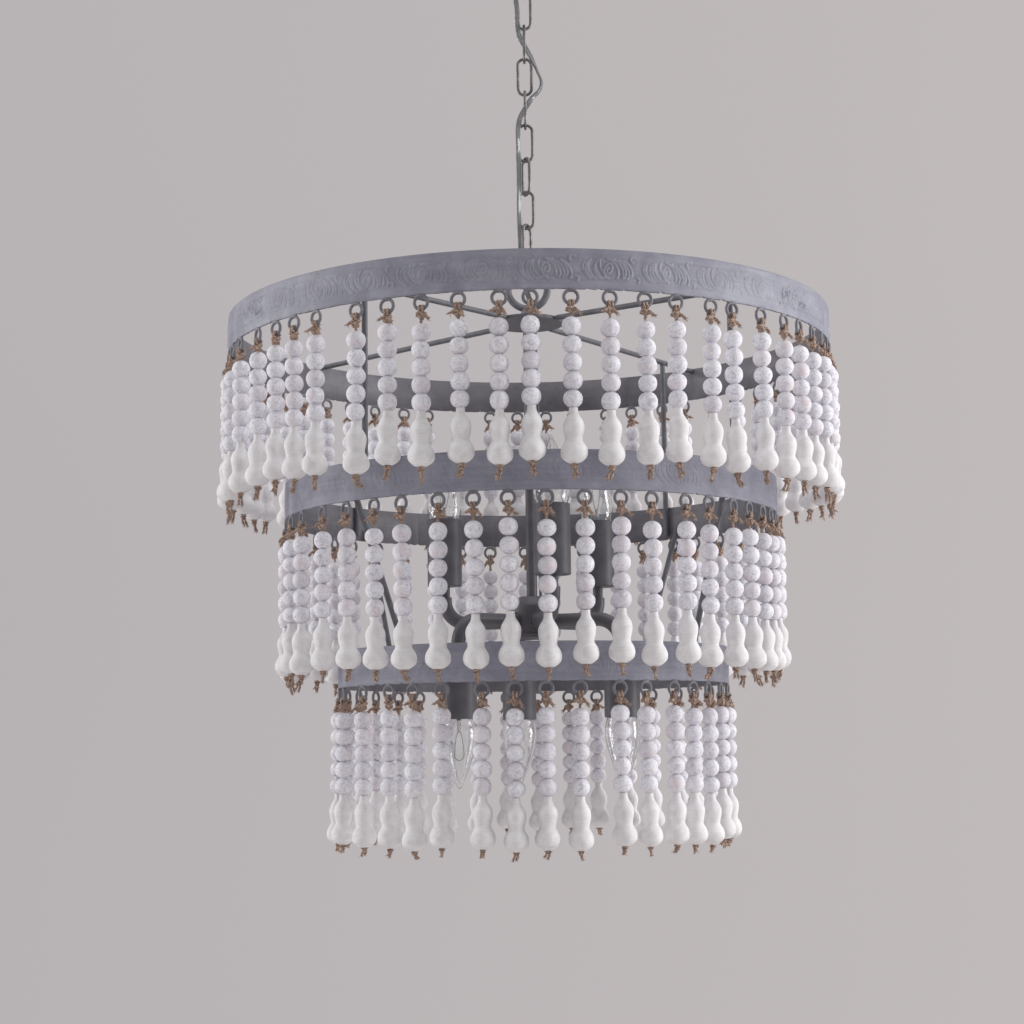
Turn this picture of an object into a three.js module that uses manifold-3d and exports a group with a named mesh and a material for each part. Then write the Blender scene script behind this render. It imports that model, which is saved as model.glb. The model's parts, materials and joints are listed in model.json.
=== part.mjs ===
// Three-tier chandelier with beaded strings, hung on a chain from a ceiling canopy.
// Millimetres, +Z up. The origin is the middle of the face that meets the ceiling.

import * as THREE from 'three';
import { mergeVertices } from 'three/addons/utils/BufferGeometryUtils.js';
import Module from 'manifold-3d';

const wasm = await Module();
wasm.setup();

// Shared clearances and section counts
const seatGap = 0.3;
const cutOverrun = 2;
const weldDepth = 0.8;
const mergeTolerance = 1e-4;
const wireSides = 6;
const rodSides = 8;
const lampSides = 12;
const turnedSides = 20;
const hoopSides = 60;

// Ceiling bracket and canopy
const bracketLength = 104;
const bracketWidth = 20;
const bracketThickness = 3;
const bracketSlotLength = 12;
const bracketSlotWidth = 5;
const bracketSlotSpacing = 82;
const canopyRadius = 62.5;
const canopyHeight = 26;
const canopyWall = 1.5;
const canopyFloorRadius = 22;
const canopyCordHoleX = -15;

// Canopy loop: threaded shank, screw collar and ring
const shankRadius = 5;
const collarRadius = 9;
const collarHeight = 5;
const loopDiameter = 26;
const loopWire = 4;

// Chain: how far each link is turned about Z, in degrees, from the top one down
const linkTurns = [0, 90, 0, 90, 0, 119, 0];
const linkLength = 41.5;
const linkWidth = 17;
const linkWire = 3;
const connectorLength = 56;
const connectorWidth = 19;
const connectorWire = 3.4;
const connectorTurn = 60;
const linkSteps = 16;

// Hanging ring with its knob and shank
const ringDiameter = 47;
const ringWire = 7.2;
const knobRadius = 6.2;
const knobRise = 9.5;
const ringShankRadius = 3.2;
const ringShankReach = 12;

// Hub plate, spokes, uprights and braces
const hubRadius = 36;
const hubThickness = 3.5;
const hubSides = 36;
const rodRadius = 2.75;
const spokeAzimuth = 51;
const spokeCount = 4;
const braceSkew = 3.8;
const braceTopRise = 14;
const uprightFootRise = 4;

// Hoops, from the top one to the bottom one
const hoopNames = ['top', 'middle', 'bottom'];
const hoopRadii = [300, 244, 192];
const hoopPitch = 164;
const bandHeight = 35.5;
const bandThickness = 2;

// Bead strings: how many hang on each hoop and where the first one is, in degrees
const stringCounts = [56, 45, 36];
const stringStarts = [269.8, 272.6, 272.8];
const stringRingDiameter = 15;
const stringRingWire = 3;
const tieLoopWire = 2;
const knotRadius = 5;
const beadDrop = 9.3;
const beadCount = 5;
const beadRadius = 8.5;
const beadPitch = 16.2;
const gourdHeight = 47;
const gourdRadius = 11.6;
const tailKnotHeight = 8.7;
const tailKnotRadius = 4.5;
const tailLength = 8;
const tailRadius = 2.5;

// Lamp cluster
const stemRadius = 5.3;
const stemBore = 3.5;
const bodyRadius = 23;
const drumRadius = 21.5;
const bodyHeight = 41.7;
const bodyPlateHeight = 5;
const bodyRim = 2;
const bodyTopAboveBottomHoop = 88.9;
const armAboveBottomHoop = 64.5;
const armRadius = 6.8;
const armBend = 24;
const armStraightEnd = 3;
const spigotRadius = 4.5;
const spigotReach = 5;
const lampCircle = 92;
const lampCount = 6;
const firstLampAzimuth = 42;
const lowerLampTurn = 3.5;
const upperNippleShow = 11.3;
const lowerNippleShow = 1.2;
const nippleRadius = 5;
const nippleReach = 8;
const sleeveRadius = 17.35;
const sleeveWall = 1.2;
const sleeveFloor = 2;
const sleeveLength = 67.7;
const holderRadius = 14;
const bulbCapRadius = 7;
const bulbCapLength = 22;
const bulbContactRadius = 3;
const bulbContactHeight = 2;
const bulbRadius = 17.5;
const bulbGlassLength = 76;
const bulbSunk = 10;

// Power cord: clear cord woven through the chain, past the hub and down beside the stem
const cordRadius = 2.25;
const cordPlay = 0.8;
const cordSteps = 64;
const cordSides = 8;
const cordRoute = [
  [-15, 0, -10], [-15, 0, -26], [-14.2, 0, -36], [-11, -2.2, -48], [-8, -4.8, -60],
  [-6.8, -5.4, -73], [-6.4, -4.6, -86], [-4.8, -1.6, -96.5], [0, 0.8, -106], [6, 2.9, -116.5],
  [11.6, 2.5, -129], [14.2, 1.6, -136], [16.7, 0.8, -142.4], [17.2, 0, -146.8],
  [16.4, -0.9, -152], [14, -1.8, -156.6], [9.8, -2.5, -161], [5.5, -2.9, -166.2],
  [-0.6, -0.8, -175.5], [-5.4, -2.6, -185.5], [-7.2, -4.9, -196], [-7.6, -5.4, -211],
  [-7.4, -4.9, -226], [-7, -3.6, -246], [-7.2, -4.8, -263], [-7.6, -5.2, -281],
  [-7.2, -4.6, -298], [-6.4, -1.5, -315], [-6.2, 4, -330], [-5.8, 8.2, -343],
  [-3.4, 9.8, -356], [1.5, 10, -370], [5.4, 8.4, -383], [6.6, 6.7, -394], [6.6, 6.6, -404],
  [6.9, 6.1, -425], [7.7, 4.7, -470], [7.9, 4.2, -520], [7.6, 4.8, -570], [8, 3.9, -620],
  [8.5, 2.2, -655], [8.7, 1.5, -668], [8.7, 1.5, -680],
];
const hubCordHole = [6.6, 6.6];
const bodyCordHole = [8.7, 1.5];

// Heights worked out from the ceiling down
const canopyBottom = -canopyHeight;
const collarBottom = canopyBottom - seatGap - collarHeight;
const loopTop = collarBottom + weldDepth;
const loopBottom = loopTop - loopDiameter;
const firstLinkTop = loopBottom + loopWire + seatGap + linkWire;
const linkPitch = linkLength - 2 * linkWire - seatGap;
const lastLinkBottom = firstLinkTop - linkLength - (linkTurns.length - 1) * linkPitch;
const connectorTop = lastLinkBottom + linkWire + seatGap + connectorWire;
const connectorBottom = connectorTop - connectorLength;
const ringTop = connectorBottom + connectorWire + seatGap + ringWire;
const ringBottom = ringTop - ringDiameter;
const hubTop = ringBottom - knobRise;
const hubBottom = hubTop - hubThickness;
const spokeZ = hubTop - hubThickness / 2;
const bandBottoms = hoopRadii.map((r, i) =>
  spokeZ - rodRadius - seatGap - bandHeight - i * hoopPitch);
const lowestBand = bandBottoms[hoopRadii.length - 1];
const armZ = lowestBand + armAboveBottomHoop;
const bodyTop = lowestBand + bodyTopAboveBottomHoop;
const bodyBottom = bodyTop - bodyHeight;
const ringWireDrop = stringRingDiameter - weldDepth - stringRingWire / 2;

const turn = THREE.MathUtils.degToRad;
const quarter = Math.PI / 2;

// Solids from geometries, joins and cuts
function toSolid(geometry) {
  const bare = new THREE.BufferGeometry();
  bare.setAttribute('position', geometry.getAttribute('position').clone());
  if (geometry.index) bare.setIndex(geometry.index.clone());
  const merged = mergeVertices(bare, mergeTolerance);
  return new wasm.Manifold(new wasm.Mesh({
    numProp: 3,
    vertProperties: new Float32Array(merged.getAttribute('position').array),
    triVerts: new Uint32Array(merged.index.array),
  }));
}

function toGeometry(solid) {
  const mesh = solid.getMesh();
  const geometry = new THREE.BufferGeometry();
  geometry.setAttribute('position', new THREE.BufferAttribute(mesh.vertProperties, 3));
  geometry.setIndex(new THREE.BufferAttribute(mesh.triVerts, 1));
  return geometry;
}

function join(...geometries) {
  return toGeometry(geometries.map(toSolid).reduce((a, b) => a.add(b)));
}

function cut(geometry, ...tools) {
  return toGeometry(tools.map(toSolid).reduce((a, b) => a.subtract(b), toSolid(geometry)));
}

// A turned solid about Z from [radius, height] points listed from the bottom up the outside
function turned(points, sides) {
  const outline = points.map(([r, z]) => new THREE.Vector2(r, z));
  return new THREE.LatheGeometry(outline, sides).rotateX(quarter);
}

// A hollow turned solid, whose outline closes on itself
function turnedRing(points, sides) {
  return turned([...points, points[0]], sides);
}

// A round bar or hole tool along Z from one height to another
function uprightBar(radius, low, high, sides) {
  return new THREE.CylinderGeometry(radius, radius, high - low, sides)
    .rotateX(quarter).translate(0, 0, (low + high) / 2);
}

// A round bar between two points
function barBetween(from, to, radius) {
  const along = new THREE.Vector3().subVectors(to, from);
  const bar = new THREE.CylinderGeometry(radius, radius, along.length(), rodSides);
  bar.applyQuaternion(new THREE.Quaternion().setFromUnitVectors(
    new THREE.Vector3(0, 1, 0), along.clone().normalize()));
  const middle = new THREE.Vector3().addVectors(from, to).divideScalar(2);
  return bar.translate(middle.x, middle.y, middle.z);
}

// A wire ring that stands on edge in the XZ plane, round the origin
function wireRing(diameter, wire, sides, steps) {
  const ring = new THREE.TorusGeometry((diameter - wire) / 2, wire / 2, sides, steps);
  return ring.rotateX(quarter);
}

// A long chain link: a wire ring pulled apart into two half rounds and two straights
function chainLink(length, width, wire) {
  const link = wireRing(width, wire, wireSides, linkSteps);
  link.rotateY(Math.PI / linkSteps);
  const place = link.getAttribute('position');
  const facetLoss = ((width - wire) / 2) * (1 - Math.cos(Math.PI / linkSteps));
  const pull = (length - width) / 2 + facetLoss;
  for (let i = 0; i < place.count; i += 1) {
    place.setZ(i, place.getZ(i) + Math.sign(place.getZ(i)) * pull);
  }
  return link;
}

// A tube along a path, closed by its extruded ends
function tubeAlong(path, radius, sides, steps) {
  const section = new THREE.Shape();
  for (let i = 0; i < sides; i += 1) {
    const a = (2 * Math.PI * i) / sides;
    const x = radius * Math.cos(a);
    const y = radius * Math.sin(a);
    if (i === 0) section.moveTo(x, y);
    else section.lineTo(x, y);
  }
  return new THREE.ExtrudeGeometry(section, { extrudePath: path, steps, bevelEnabled: false });
}

function around(radius, degrees, z) {
  return new THREE.Vector3(radius * Math.cos(turn(degrees)), radius * Math.sin(turn(degrees)), z);
}

// Finishes
const finishes = {
  steel: { color: 0x8d9094, roughness: 0.35, metalness: 0.9 },
  paint: { color: 0x7d8593, roughness: 0.6, metalness: 0.2 },
  dark: { color: 0x484a4e, roughness: 0.5, metalness: 0.5 },
  clear: { color: 0xc9cccf, roughness: 0.2, metalness: 0.1 },
  holder: { color: 0xe6e2d8, roughness: 0.5, metalness: 0 },
  glass: { color: 0xe8eef2, roughness: 0.05, metalness: 0 },
  bead: { color: 0xdedbe0, roughness: 0.7, metalness: 0 },
};

const chandelier = new THREE.Group();

function add(name, geometry, finish, parent = chandelier) {
  const mesh = new THREE.Mesh(geometry, new THREE.MeshStandardMaterial(finishes[finish]));
  mesh.name = name;
  parent.add(mesh);
  return mesh;
}

// Ceiling bracket: a flat strap with a screw slot near each end
function bracketGeometry() {
  const strap = new THREE.Shape();
  const straight = (bracketLength - bracketWidth) / 2;
  strap.absarc(straight, 0, bracketWidth / 2, -quarter, quarter);
  strap.absarc(-straight, 0, bracketWidth / 2, quarter, 3 * quarter);
  for (const side of [-1, 1]) {
    const slot = new THREE.Path();
    const middle = side * bracketSlotSpacing / 2;
    const half = (bracketSlotLength - bracketSlotWidth) / 2;
    slot.absarc(middle + half, 0, bracketSlotWidth / 2, -quarter, quarter);
    slot.absarc(middle - half, 0, bracketSlotWidth / 2, quarter, 3 * quarter);
    strap.holes.push(slot);
  }
  const flat = new THREE.ExtrudeGeometry(strap, {
    depth: bracketThickness, bevelEnabled: false, curveSegments: rodSides / 2,
  });
  return flat.translate(0, 0, -bracketThickness);
}

// Canopy: a shallow bell, open to the ceiling, with holes for the shank and the cord
function canopyGeometry() {
  const out = new THREE.EllipseCurve(canopyFloorRadius, 0,
    canopyRadius - canopyFloorRadius, canopyHeight, -quarter, 0).getPoints(wireSides);
  const inside = new THREE.EllipseCurve(canopyFloorRadius, 0,
    canopyRadius - canopyFloorRadius - canopyWall, canopyHeight - canopyWall,
    0, -quarter, true).getPoints(wireSides);
  const bore = shankRadius + seatGap;
  const shell = turnedRing([
    [bore, -canopyHeight],
    ...out.map((p) => [p.x, p.y]),
    ...inside.map((p) => [p.x, p.y]),
    [bore, canopyWall - canopyHeight],
  ], turnedSides);
  const hole = uprightBar(cordRadius + cordPlay, -canopyHeight - cutOverrun,
    canopyWall - canopyHeight + cutOverrun, rodSides);
  return cut(shell, hole.translate(canopyCordHoleX, 0, 0));
}

// Canopy loop, its ring across the line of sight of the first link
function canopyLoopGeometry() {
  const shank = uprightBar(shankRadius, collarBottom + weldDepth,
    -bracketThickness - seatGap, lampSides);
  const collar = uprightBar(collarRadius, collarBottom, collarBottom + collarHeight, lampSides);
  const ring = wireRing(loopDiameter, loopWire, rodSides, turnedSides)
    .rotateZ(quarter).translate(0, 0, (loopTop + loopBottom) / 2);
  return join(shank, collar, ring);
}

// Hanging ring, its knob on the hub plate and the threaded shank below
function hangingRingGeometry() {
  const ring = wireRing(ringDiameter, ringWire, rodSides, turnedSides)
    .translate(0, 0, (ringTop + ringBottom) / 2);
  const knob = turned([
    [0, hubTop + seatGap],
    [knobRadius, hubTop + seatGap],
    [knobRadius, ringBottom],
    [knobRadius / 2, ringBottom + ringWire],
    [0, ringBottom + ringWire],
  ], lampSides);
  const shank = uprightBar(ringShankRadius, hubBottom - ringShankReach,
    hubTop + seatGap + weldDepth, rodSides);
  return join(ring, knob, shank);
}

// Hub plate with the shank's bore and a hole for the cord
function hubPlateGeometry() {
  const disc = new THREE.Shape().absarc(0, 0, hubRadius, 0, 2 * Math.PI);
  const bore = new THREE.Path().absarc(0, 0, ringShankRadius + seatGap, 0, 2 * Math.PI, true);
  const cordHole = new THREE.Path().absarc(hubCordHole[0], hubCordHole[1],
    cordRadius + cordPlay, 0, 2 * Math.PI, true);
  disc.holes.push(bore, cordHole);
  const plate = new THREE.ExtrudeGeometry(disc, {
    depth: hubThickness, bevelEnabled: false, curveSegments: hubSides / 2,
  });
  return plate.translate(0, 0, hubBottom);
}

// The flat face a faceted band turns to its middle, where rods are welded on
function bandInside(index) {
  return (hoopRadii[index] - bandThickness) * Math.cos(Math.PI / hoopSides);
}

// A hoop of flat strip with the string rings welded under its edge
function hoopGeometry(index, azimuths) {
  const outer = hoopRadii[index];
  const low = bandBottoms[index];
  const band = turnedRing([
    [outer - bandThickness, low],
    [outer, low],
    [outer, low + bandHeight],
    [outer - bandThickness, low + bandHeight],
  ], hoopSides);
  const rings = azimuths.map((degrees) => {
    const centre = around(outer - bandThickness / 2, degrees,
      low + weldDepth - stringRingDiameter / 2);
    return wireRing(stringRingDiameter, stringRingWire, wireSides, lampSides)
      .rotateZ(turn(degrees) + quarter).translate(centre.x, centre.y, centre.z);
  });
  return join(band, ...rings);
}

// A bead string about Z, hung from the origin by its tie loop round the ring's wire
function beadStringGeometry() {
  const loopSpan = stringRingWire + 2 * (tieLoopWire + seatGap);
  const loop = wireRing(loopSpan, tieLoopWire, wireSides, rodSides);
  const points = [];
  const gourdTop = -beadDrop - beadCount * beadPitch;
  const gourdBottom = gourdTop - gourdHeight;
  const knotBottom = gourdBottom - tailKnotHeight;
  points.push([0, knotBottom - tailLength], [tailRadius, knotBottom - tailLength]);
  points.push([tailRadius, knotBottom], [tailKnotRadius, (knotBottom + gourdBottom) / 2]);
  const gourdShares = [
    [0.42, 0], [0.93, 0.09], [1, 0.22], [0.66, 0.45], [0.8, 0.64], [0.6, 0.8], [0.33, 1],
  ];
  const beadTurnShares = [-0.62, 0, 0.62];
  for (const [r, z] of gourdShares) points.push([r * gourdRadius, gourdBottom + z * gourdHeight]);
  for (let i = beadCount - 1; i >= 0; i -= 1) {
    const middle = -beadDrop - (i + 0.5) * beadPitch;
    for (const share of beadTurnShares) {
      const a = share * quarter;
      points.push([beadRadius * Math.cos(a), middle + (beadPitch / 2) * Math.sin(a)]);
    }
  }
  points.push([knotRadius, -beadDrop], [knotRadius, (-beadDrop - loopSpan / 2) / 2]);
  points.push([tieLoopWire / 2, weldDepth - loopSpan / 2], [0, weldDepth - loopSpan / 2]);
  return join(loop.rotateZ(quarter), turned(points, wireSides));
}

// Lamp body: a turned drum on a wider foot plate, with sockets for the cord and six arms
function lampBodyGeometry() {
  const plateTop = bodyBottom + bodyPlateHeight;
  const shoulder = bodyTop - bodyHeight / 4;
  const drum = turned([
    [0, bodyBottom],
    [bodyRadius, bodyBottom],
    [bodyRadius, plateTop],
    [drumRadius, plateTop],
    [drumRadius, shoulder],
    [bodyCordHole[0] + cordRadius + bodyRim, bodyTop],
    [0, bodyTop],
  ], turnedSides);
  const armSockets = Array.from({ length: lampCount }, (unused, i) => barBetween(
    around(drumRadius - spigotReach - seatGap, lampAzimuth(i), armZ),
    around(bodyRadius + cutOverrun, lampAzimuth(i), armZ), spigotRadius + seatGap));
  const cordSocket = uprightBar(cordRadius + cordPlay, cordRoute[cordRoute.length - 1][2] - seatGap,
    bodyTop + cutOverrun, rodSides).translate(bodyCordHole[0], bodyCordHole[1], 0);
  return cut(drum, cordSocket, ...armSockets);
}

function lampAzimuth(index) {
  return firstLampAzimuth + (360 / lampCount) * index - (index % 2) * lowerLampTurn;
}

// Lamp arm, drawn in its own XZ plane with the bend up: spigot, elbow and nipple
function lampArmGeometry(show) {
  const elbow = new THREE.CurvePath();
  const bendStart = lampCircle - armBend;
  elbow.add(new THREE.LineCurve3(new THREE.Vector3(drumRadius + seatGap, 0, 0),
    new THREE.Vector3(bendStart, 0, 0)));
  const bend = Array.from({ length: rodSides + 1 }, (unused, i) => {
    const a = (quarter * i) / rodSides;
    return new THREE.Vector3(bendStart + armBend * Math.sin(a), 0, armBend * (1 - Math.cos(a)));
  });
  for (let i = 0; i < rodSides; i += 1) elbow.add(new THREE.LineCurve3(bend[i], bend[i + 1]));
  elbow.add(new THREE.LineCurve3(bend[rodSides],
    new THREE.Vector3(lampCircle, 0, armBend + armStraightEnd)));
  const tube = tubeAlong(elbow, armRadius, rodSides, rodSides);
  const spigot = barBetween(
    new THREE.Vector3(drumRadius - spigotReach, 0, 0),
    new THREE.Vector3(drumRadius + seatGap + weldDepth, 0, 0), spigotRadius);
  const nipple = uprightBar(nippleRadius, armBend + armStraightEnd - weldDepth,
    armBend + armStraightEnd + show + nippleReach, rodSides).translate(lampCircle, 0, 0);
  return join(tube, spigot, nipple);
}

// Candle sleeve, from the height at which it starts above the arm's end
function sleeveGeometry(foot) {
  return turnedRing([
    [nippleRadius + seatGap, foot],
    [sleeveRadius, foot],
    [sleeveRadius, foot + sleeveLength],
    [sleeveRadius - sleeveWall, foot + sleeveLength],
    [sleeveRadius - sleeveWall, foot + sleeveFloor],
    [nippleRadius + seatGap, foot + sleeveFloor],
  ], lampSides);
}

// Lamp holder inside the sleeve: a nipple bore below and the bulb's socket above
function holderGeometry(foot) {
  const low = foot + sleeveFloor + seatGap;
  const capTip = foot + sleeveLength - bulbSunk - bulbCapLength;
  const high = foot + sleeveLength - bulbSunk - seatGap;
  return turned([
    [0, foot + nippleReach + seatGap],
    [nippleRadius + seatGap, foot + nippleReach + seatGap],
    [nippleRadius + seatGap, low],
    [holderRadius, low],
    [holderRadius, high],
    [bulbCapRadius + seatGap, high],
    [bulbCapRadius + seatGap, capTip - seatGap],
    [0, capTip - seatGap],
  ], lampSides);
}

// Candle bulb: screw cap and a flame-shaped glass
function bulbGeometry(foot) {
  const glassFoot = foot + sleeveLength - bulbSunk;
  const capTip = glassFoot - bulbCapLength;
  const glassShares = [
    [0.42, 0], [0.76, 0.11], [1, 0.29], [0.93, 0.47], [0.66, 0.69], [0.24, 0.91], [0, 1],
  ];
  return turned([
    [0, capTip],
    [bulbContactRadius, capTip],
    [bulbCapRadius, capTip + bulbContactHeight],
    [bulbCapRadius, glassFoot],
    ...glassShares.map(([r, z]) => [r * bulbRadius, glassFoot + z * bulbGlassLength]),
  ], lampSides);
}

// Ceiling fitting
add('ceiling_bracket', bracketGeometry(), 'steel');
add('ceiling_canopy', canopyGeometry(), 'paint');
add('canopy_loop', canopyLoopGeometry(), 'steel');

// Chain, its links across each other
for (let i = 0; i < linkTurns.length; i += 1) {
  const link = add(`chain_link_${i + 1}`, chainLink(linkLength, linkWidth, linkWire), 'steel');
  link.position.z = firstLinkTop - linkLength / 2 - i * linkPitch;
  link.rotation.z = turn(linkTurns[i]);
}
const connector = add('connecting_link',
  chainLink(connectorLength, connectorWidth, connectorWire), 'steel');
connector.position.z = (connectorTop + connectorBottom) / 2;
connector.rotation.z = turn(connectorTurn);

const route = new THREE.CatmullRomCurve3(cordRoute.map((p) => new THREE.Vector3(...p)));
add('power_cord', tubeAlong(route, cordRadius, cordSides, cordSteps), 'clear');

// Frame
add('hanging_ring', hangingRingGeometry(), 'paint');
add('hub_plate', hubPlateGeometry(), 'paint');

const hungStrings = [
  { hoop: 0, index: 0, place: 'front' }, { hoop: 0, index: stringCounts[0] / 4, place: 'side' },
  { hoop: 1, index: 0, place: 'front' },
  { hoop: 1, index: Math.round(stringCounts[1] / 4), place: 'side' },
  { hoop: 2, index: 0, place: 'front' },
];

function stringAzimuth(hung) {
  return stringStarts[hung.hoop] + (360 / stringCounts[hung.hoop]) * hung.index;
}

for (let h = 0; h < hoopRadii.length; h += 1) {
  const azimuths = hungStrings.filter((s) => s.hoop === h).map(stringAzimuth);
  add(`hoop_${hoopNames[h]}`, hoopGeometry(h, azimuths), 'paint');
}

// The spokes fall from the hub's rim to the inside of the top hoop, flush with its edge
const spokeStart = hubRadius * Math.cos(Math.PI / hubSides) + seatGap;
const spokeEnd = bandInside(0) - seatGap;
const spokeEndZ = bandBottoms[0] + bandHeight - rodRadius;
const spokeFall = (spokeZ - spokeEndZ) / (spokeEnd - spokeStart);
const uprightCircle = bandInside(1) - seatGap - rodRadius;
const uprightTop = spokeZ - spokeFall * (uprightCircle - spokeStart) - rodRadius - seatGap;
const lowerTop = bandBottoms[2] + bandHeight;
const lean = Math.atan2(uprightCircle - hoopRadii[2],
  bandBottoms[1] + braceTopRise - lowerTop);
const braceFootZ = lowerTop + seatGap + rodRadius * Math.sin(lean);
const braceTopCircle = bandInside(1) - seatGap - rodRadius * Math.cos(lean);

for (let i = 0; i < spokeCount; i += 1) {
  const azimuth = spokeAzimuth + (360 / spokeCount) * i;
  add(`spoke_${i + 1}`, barBetween(around(spokeStart, azimuth, spokeZ),
    around(spokeEnd, azimuth, spokeEndZ), rodRadius), 'paint');
  add(`upright_${i + 1}`, barBetween(
    around(uprightCircle, azimuth, bandBottoms[1] + uprightFootRise),
    around(uprightCircle, azimuth, uprightTop), rodRadius), 'paint');
  add(`brace_${i + 1}`, barBetween(
    around(hoopRadii[2] - bandThickness / 2, azimuth, braceFootZ),
    around(braceTopCircle, azimuth - braceSkew, bandBottoms[1] + braceTopRise),
    rodRadius), 'paint');
}

// Lamp cluster: the lamps stand and hang in turn round the body
add('centre_stem', turned([
  [0, bodyTop + seatGap],
  [stemRadius, bodyTop + seatGap],
  [stemRadius, hubBottom - seatGap],
  [stemBore, hubBottom - seatGap],
  [stemBore, hubBottom - ringShankReach - seatGap],
  [0, hubBottom - ringShankReach - seatGap],
], lampSides), 'dark');
add('lamp_body', lampBodyGeometry(), 'dark');

for (let i = 0; i < lampCount; i += 1) {
  const upper = i % 2 === 0;
  const lamp = new THREE.Group();
  lamp.position.z = armZ;
  lamp.rotation.set(upper ? 0 : Math.PI, 0, turn(lampAzimuth(i)), 'ZYX');
  const show = upper ? upperNippleShow : lowerNippleShow;
  const stand = new THREE.Group();
  stand.position.x = lampCircle;
  const foot = armBend + armStraightEnd + show;
  add(`lamp_arm_${i + 1}`, lampArmGeometry(show), 'dark', lamp);
  add(`candle_sleeve_${i + 1}`, sleeveGeometry(foot), 'dark', stand);
  add(`lamp_holder_${i + 1}`, holderGeometry(foot), 'holder', stand);
  add(`candle_bulb_${i + 1}`, bulbGeometry(foot), 'glass', stand);
  lamp.add(stand);
  chandelier.add(lamp);
}

// Bead strings that hang by themselves
for (const hung of hungStrings) {
  const place = new THREE.Group();
  const azimuth = stringAzimuth(hung);
  place.position.copy(around(hoopRadii[hung.hoop] - bandThickness / 2, azimuth,
    bandBottoms[hung.hoop] - ringWireDrop));
  place.rotation.z = turn(azimuth) + quarter;
  add(`bead_string_${hoopNames[hung.hoop]}_${hung.place}`, beadStringGeometry(), 'bead', place);
  chandelier.add(place);
}

export default chandelier;
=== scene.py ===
"""A three-tier chandelier of embossed hoops hung with wooden bead strings, on a chain and a canopy."""

import json
import math
import random

import bpy
import numpy as np
from mathutils import Matrix, Vector

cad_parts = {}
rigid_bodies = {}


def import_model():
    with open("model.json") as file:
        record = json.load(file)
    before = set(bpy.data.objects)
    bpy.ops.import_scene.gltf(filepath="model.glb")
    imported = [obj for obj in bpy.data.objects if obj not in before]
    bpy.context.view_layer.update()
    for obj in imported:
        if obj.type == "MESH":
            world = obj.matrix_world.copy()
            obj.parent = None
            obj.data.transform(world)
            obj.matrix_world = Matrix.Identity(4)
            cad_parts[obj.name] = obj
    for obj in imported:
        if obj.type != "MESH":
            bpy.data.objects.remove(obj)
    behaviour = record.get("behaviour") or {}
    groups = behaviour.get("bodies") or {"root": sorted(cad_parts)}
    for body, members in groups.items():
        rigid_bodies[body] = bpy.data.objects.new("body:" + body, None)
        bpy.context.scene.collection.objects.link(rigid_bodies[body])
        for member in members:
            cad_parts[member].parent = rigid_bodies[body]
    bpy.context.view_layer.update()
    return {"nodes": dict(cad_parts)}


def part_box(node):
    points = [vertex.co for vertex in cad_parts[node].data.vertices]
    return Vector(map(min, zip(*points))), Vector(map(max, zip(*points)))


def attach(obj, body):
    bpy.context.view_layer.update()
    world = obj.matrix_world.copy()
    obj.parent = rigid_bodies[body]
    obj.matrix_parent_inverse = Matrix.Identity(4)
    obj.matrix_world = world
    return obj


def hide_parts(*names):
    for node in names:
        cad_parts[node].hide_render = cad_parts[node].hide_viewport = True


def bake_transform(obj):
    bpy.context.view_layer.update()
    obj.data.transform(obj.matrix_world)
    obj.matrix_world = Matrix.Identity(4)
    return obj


bl_info = {
    "name": "Beaded chandelier",
    "version": (1, 0, 0),
    "blender": (4, 5, 0),
    "location": "3D View > Sidebar > Chandelier",
    "description": "Builds a three-tier chandelier of hoops, bead strings and candle lamps",
    "category": "Add Mesh",
}

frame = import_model()
CAD_BOXES = {node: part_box(node) for node in frame["nodes"]}

MM = 0.001
TINY = 1e-7
FULL_TURN = 2 * math.pi
# How far a seated piece stands off its seat, and how deep a weld sinks into what it joins
SEAT_GAP = 0.3 * MM
WELD_DEPTH = 0.8 * MM

HOOP_NAMES = ("top", "middle", "bottom")
BODY_CHAIN = ["ceiling"] + [f"chain_link_{i}" for i in range(1, 8)] + ["connecting_link", "fixture"]
# How far each link is turned about the chain's line, in degrees
LINK_TURNS = (0, 90, 0, 90, 0, 119, 0)
CONNECTOR_TURN = 60

# Where the spokes, uprights and braces stand, in degrees
SPOKE_AZIMUTHS = (51, 141, 231, 321)
# How far a brace's head stands to one side of its foot, in degrees
BRACE_SKEW = 3.8

# The image columns where the front string rings hang, for a picture 1024 wide
IMAGE_SIZE = 1024
FRONT_RING_PIXELS = {
    "top": (241, 258, 276, 294, 316, 356, 387, 421, 458, 499, 530, 571, 610, 645, 676, 711, 732, 761,
            784, 799, 812),
    "middle": (302, 323, 346, 374, 401, 438, 473, 508, 546, 585, 621, 652, 686, 709, 733),
    "bottom": (344, 363, 389, 413, 442, 482, 515, 546, 580, 620, 646, 674, 693, 708),
}
STRING_TOTALS = {"top": 56, "middle": 45, "bottom": 36}

# For each hoop: how much lower the first bead hangs, and how close the beads sit, as a share
STRING_FITS = {"top": (1.9 * MM, 0.955), "middle": (3.2 * MM, 0.995), "bottom": (1.2 * MM, 0.962)}
# How long the tails are on each hoop, as a share
TAIL_SHARES = {"top": 1.0, "middle": 0.85, "bottom": 0.6}

# Strings that swing by themselves: hoop, azimuth in degrees and body
SWINGING_STRINGS = (
    ("top", 269.8, "bead_string_top_front"),
    ("top", 359.8, "bead_string_top_side"),
    ("middle", 272.6, "bead_string_middle_front"),
    ("middle", 0.6, "bead_string_middle_side"),
    ("bottom", 272.8, "bead_string_bottom_front"),
)

LAMP_COUNT = 6
# The azimuth of the first lamp, and how far the lower lamps are turned back, in degrees
FIRST_LAMP_AZIMUTH = 42
LOWER_LAMP_TURN = 3.5

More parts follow.
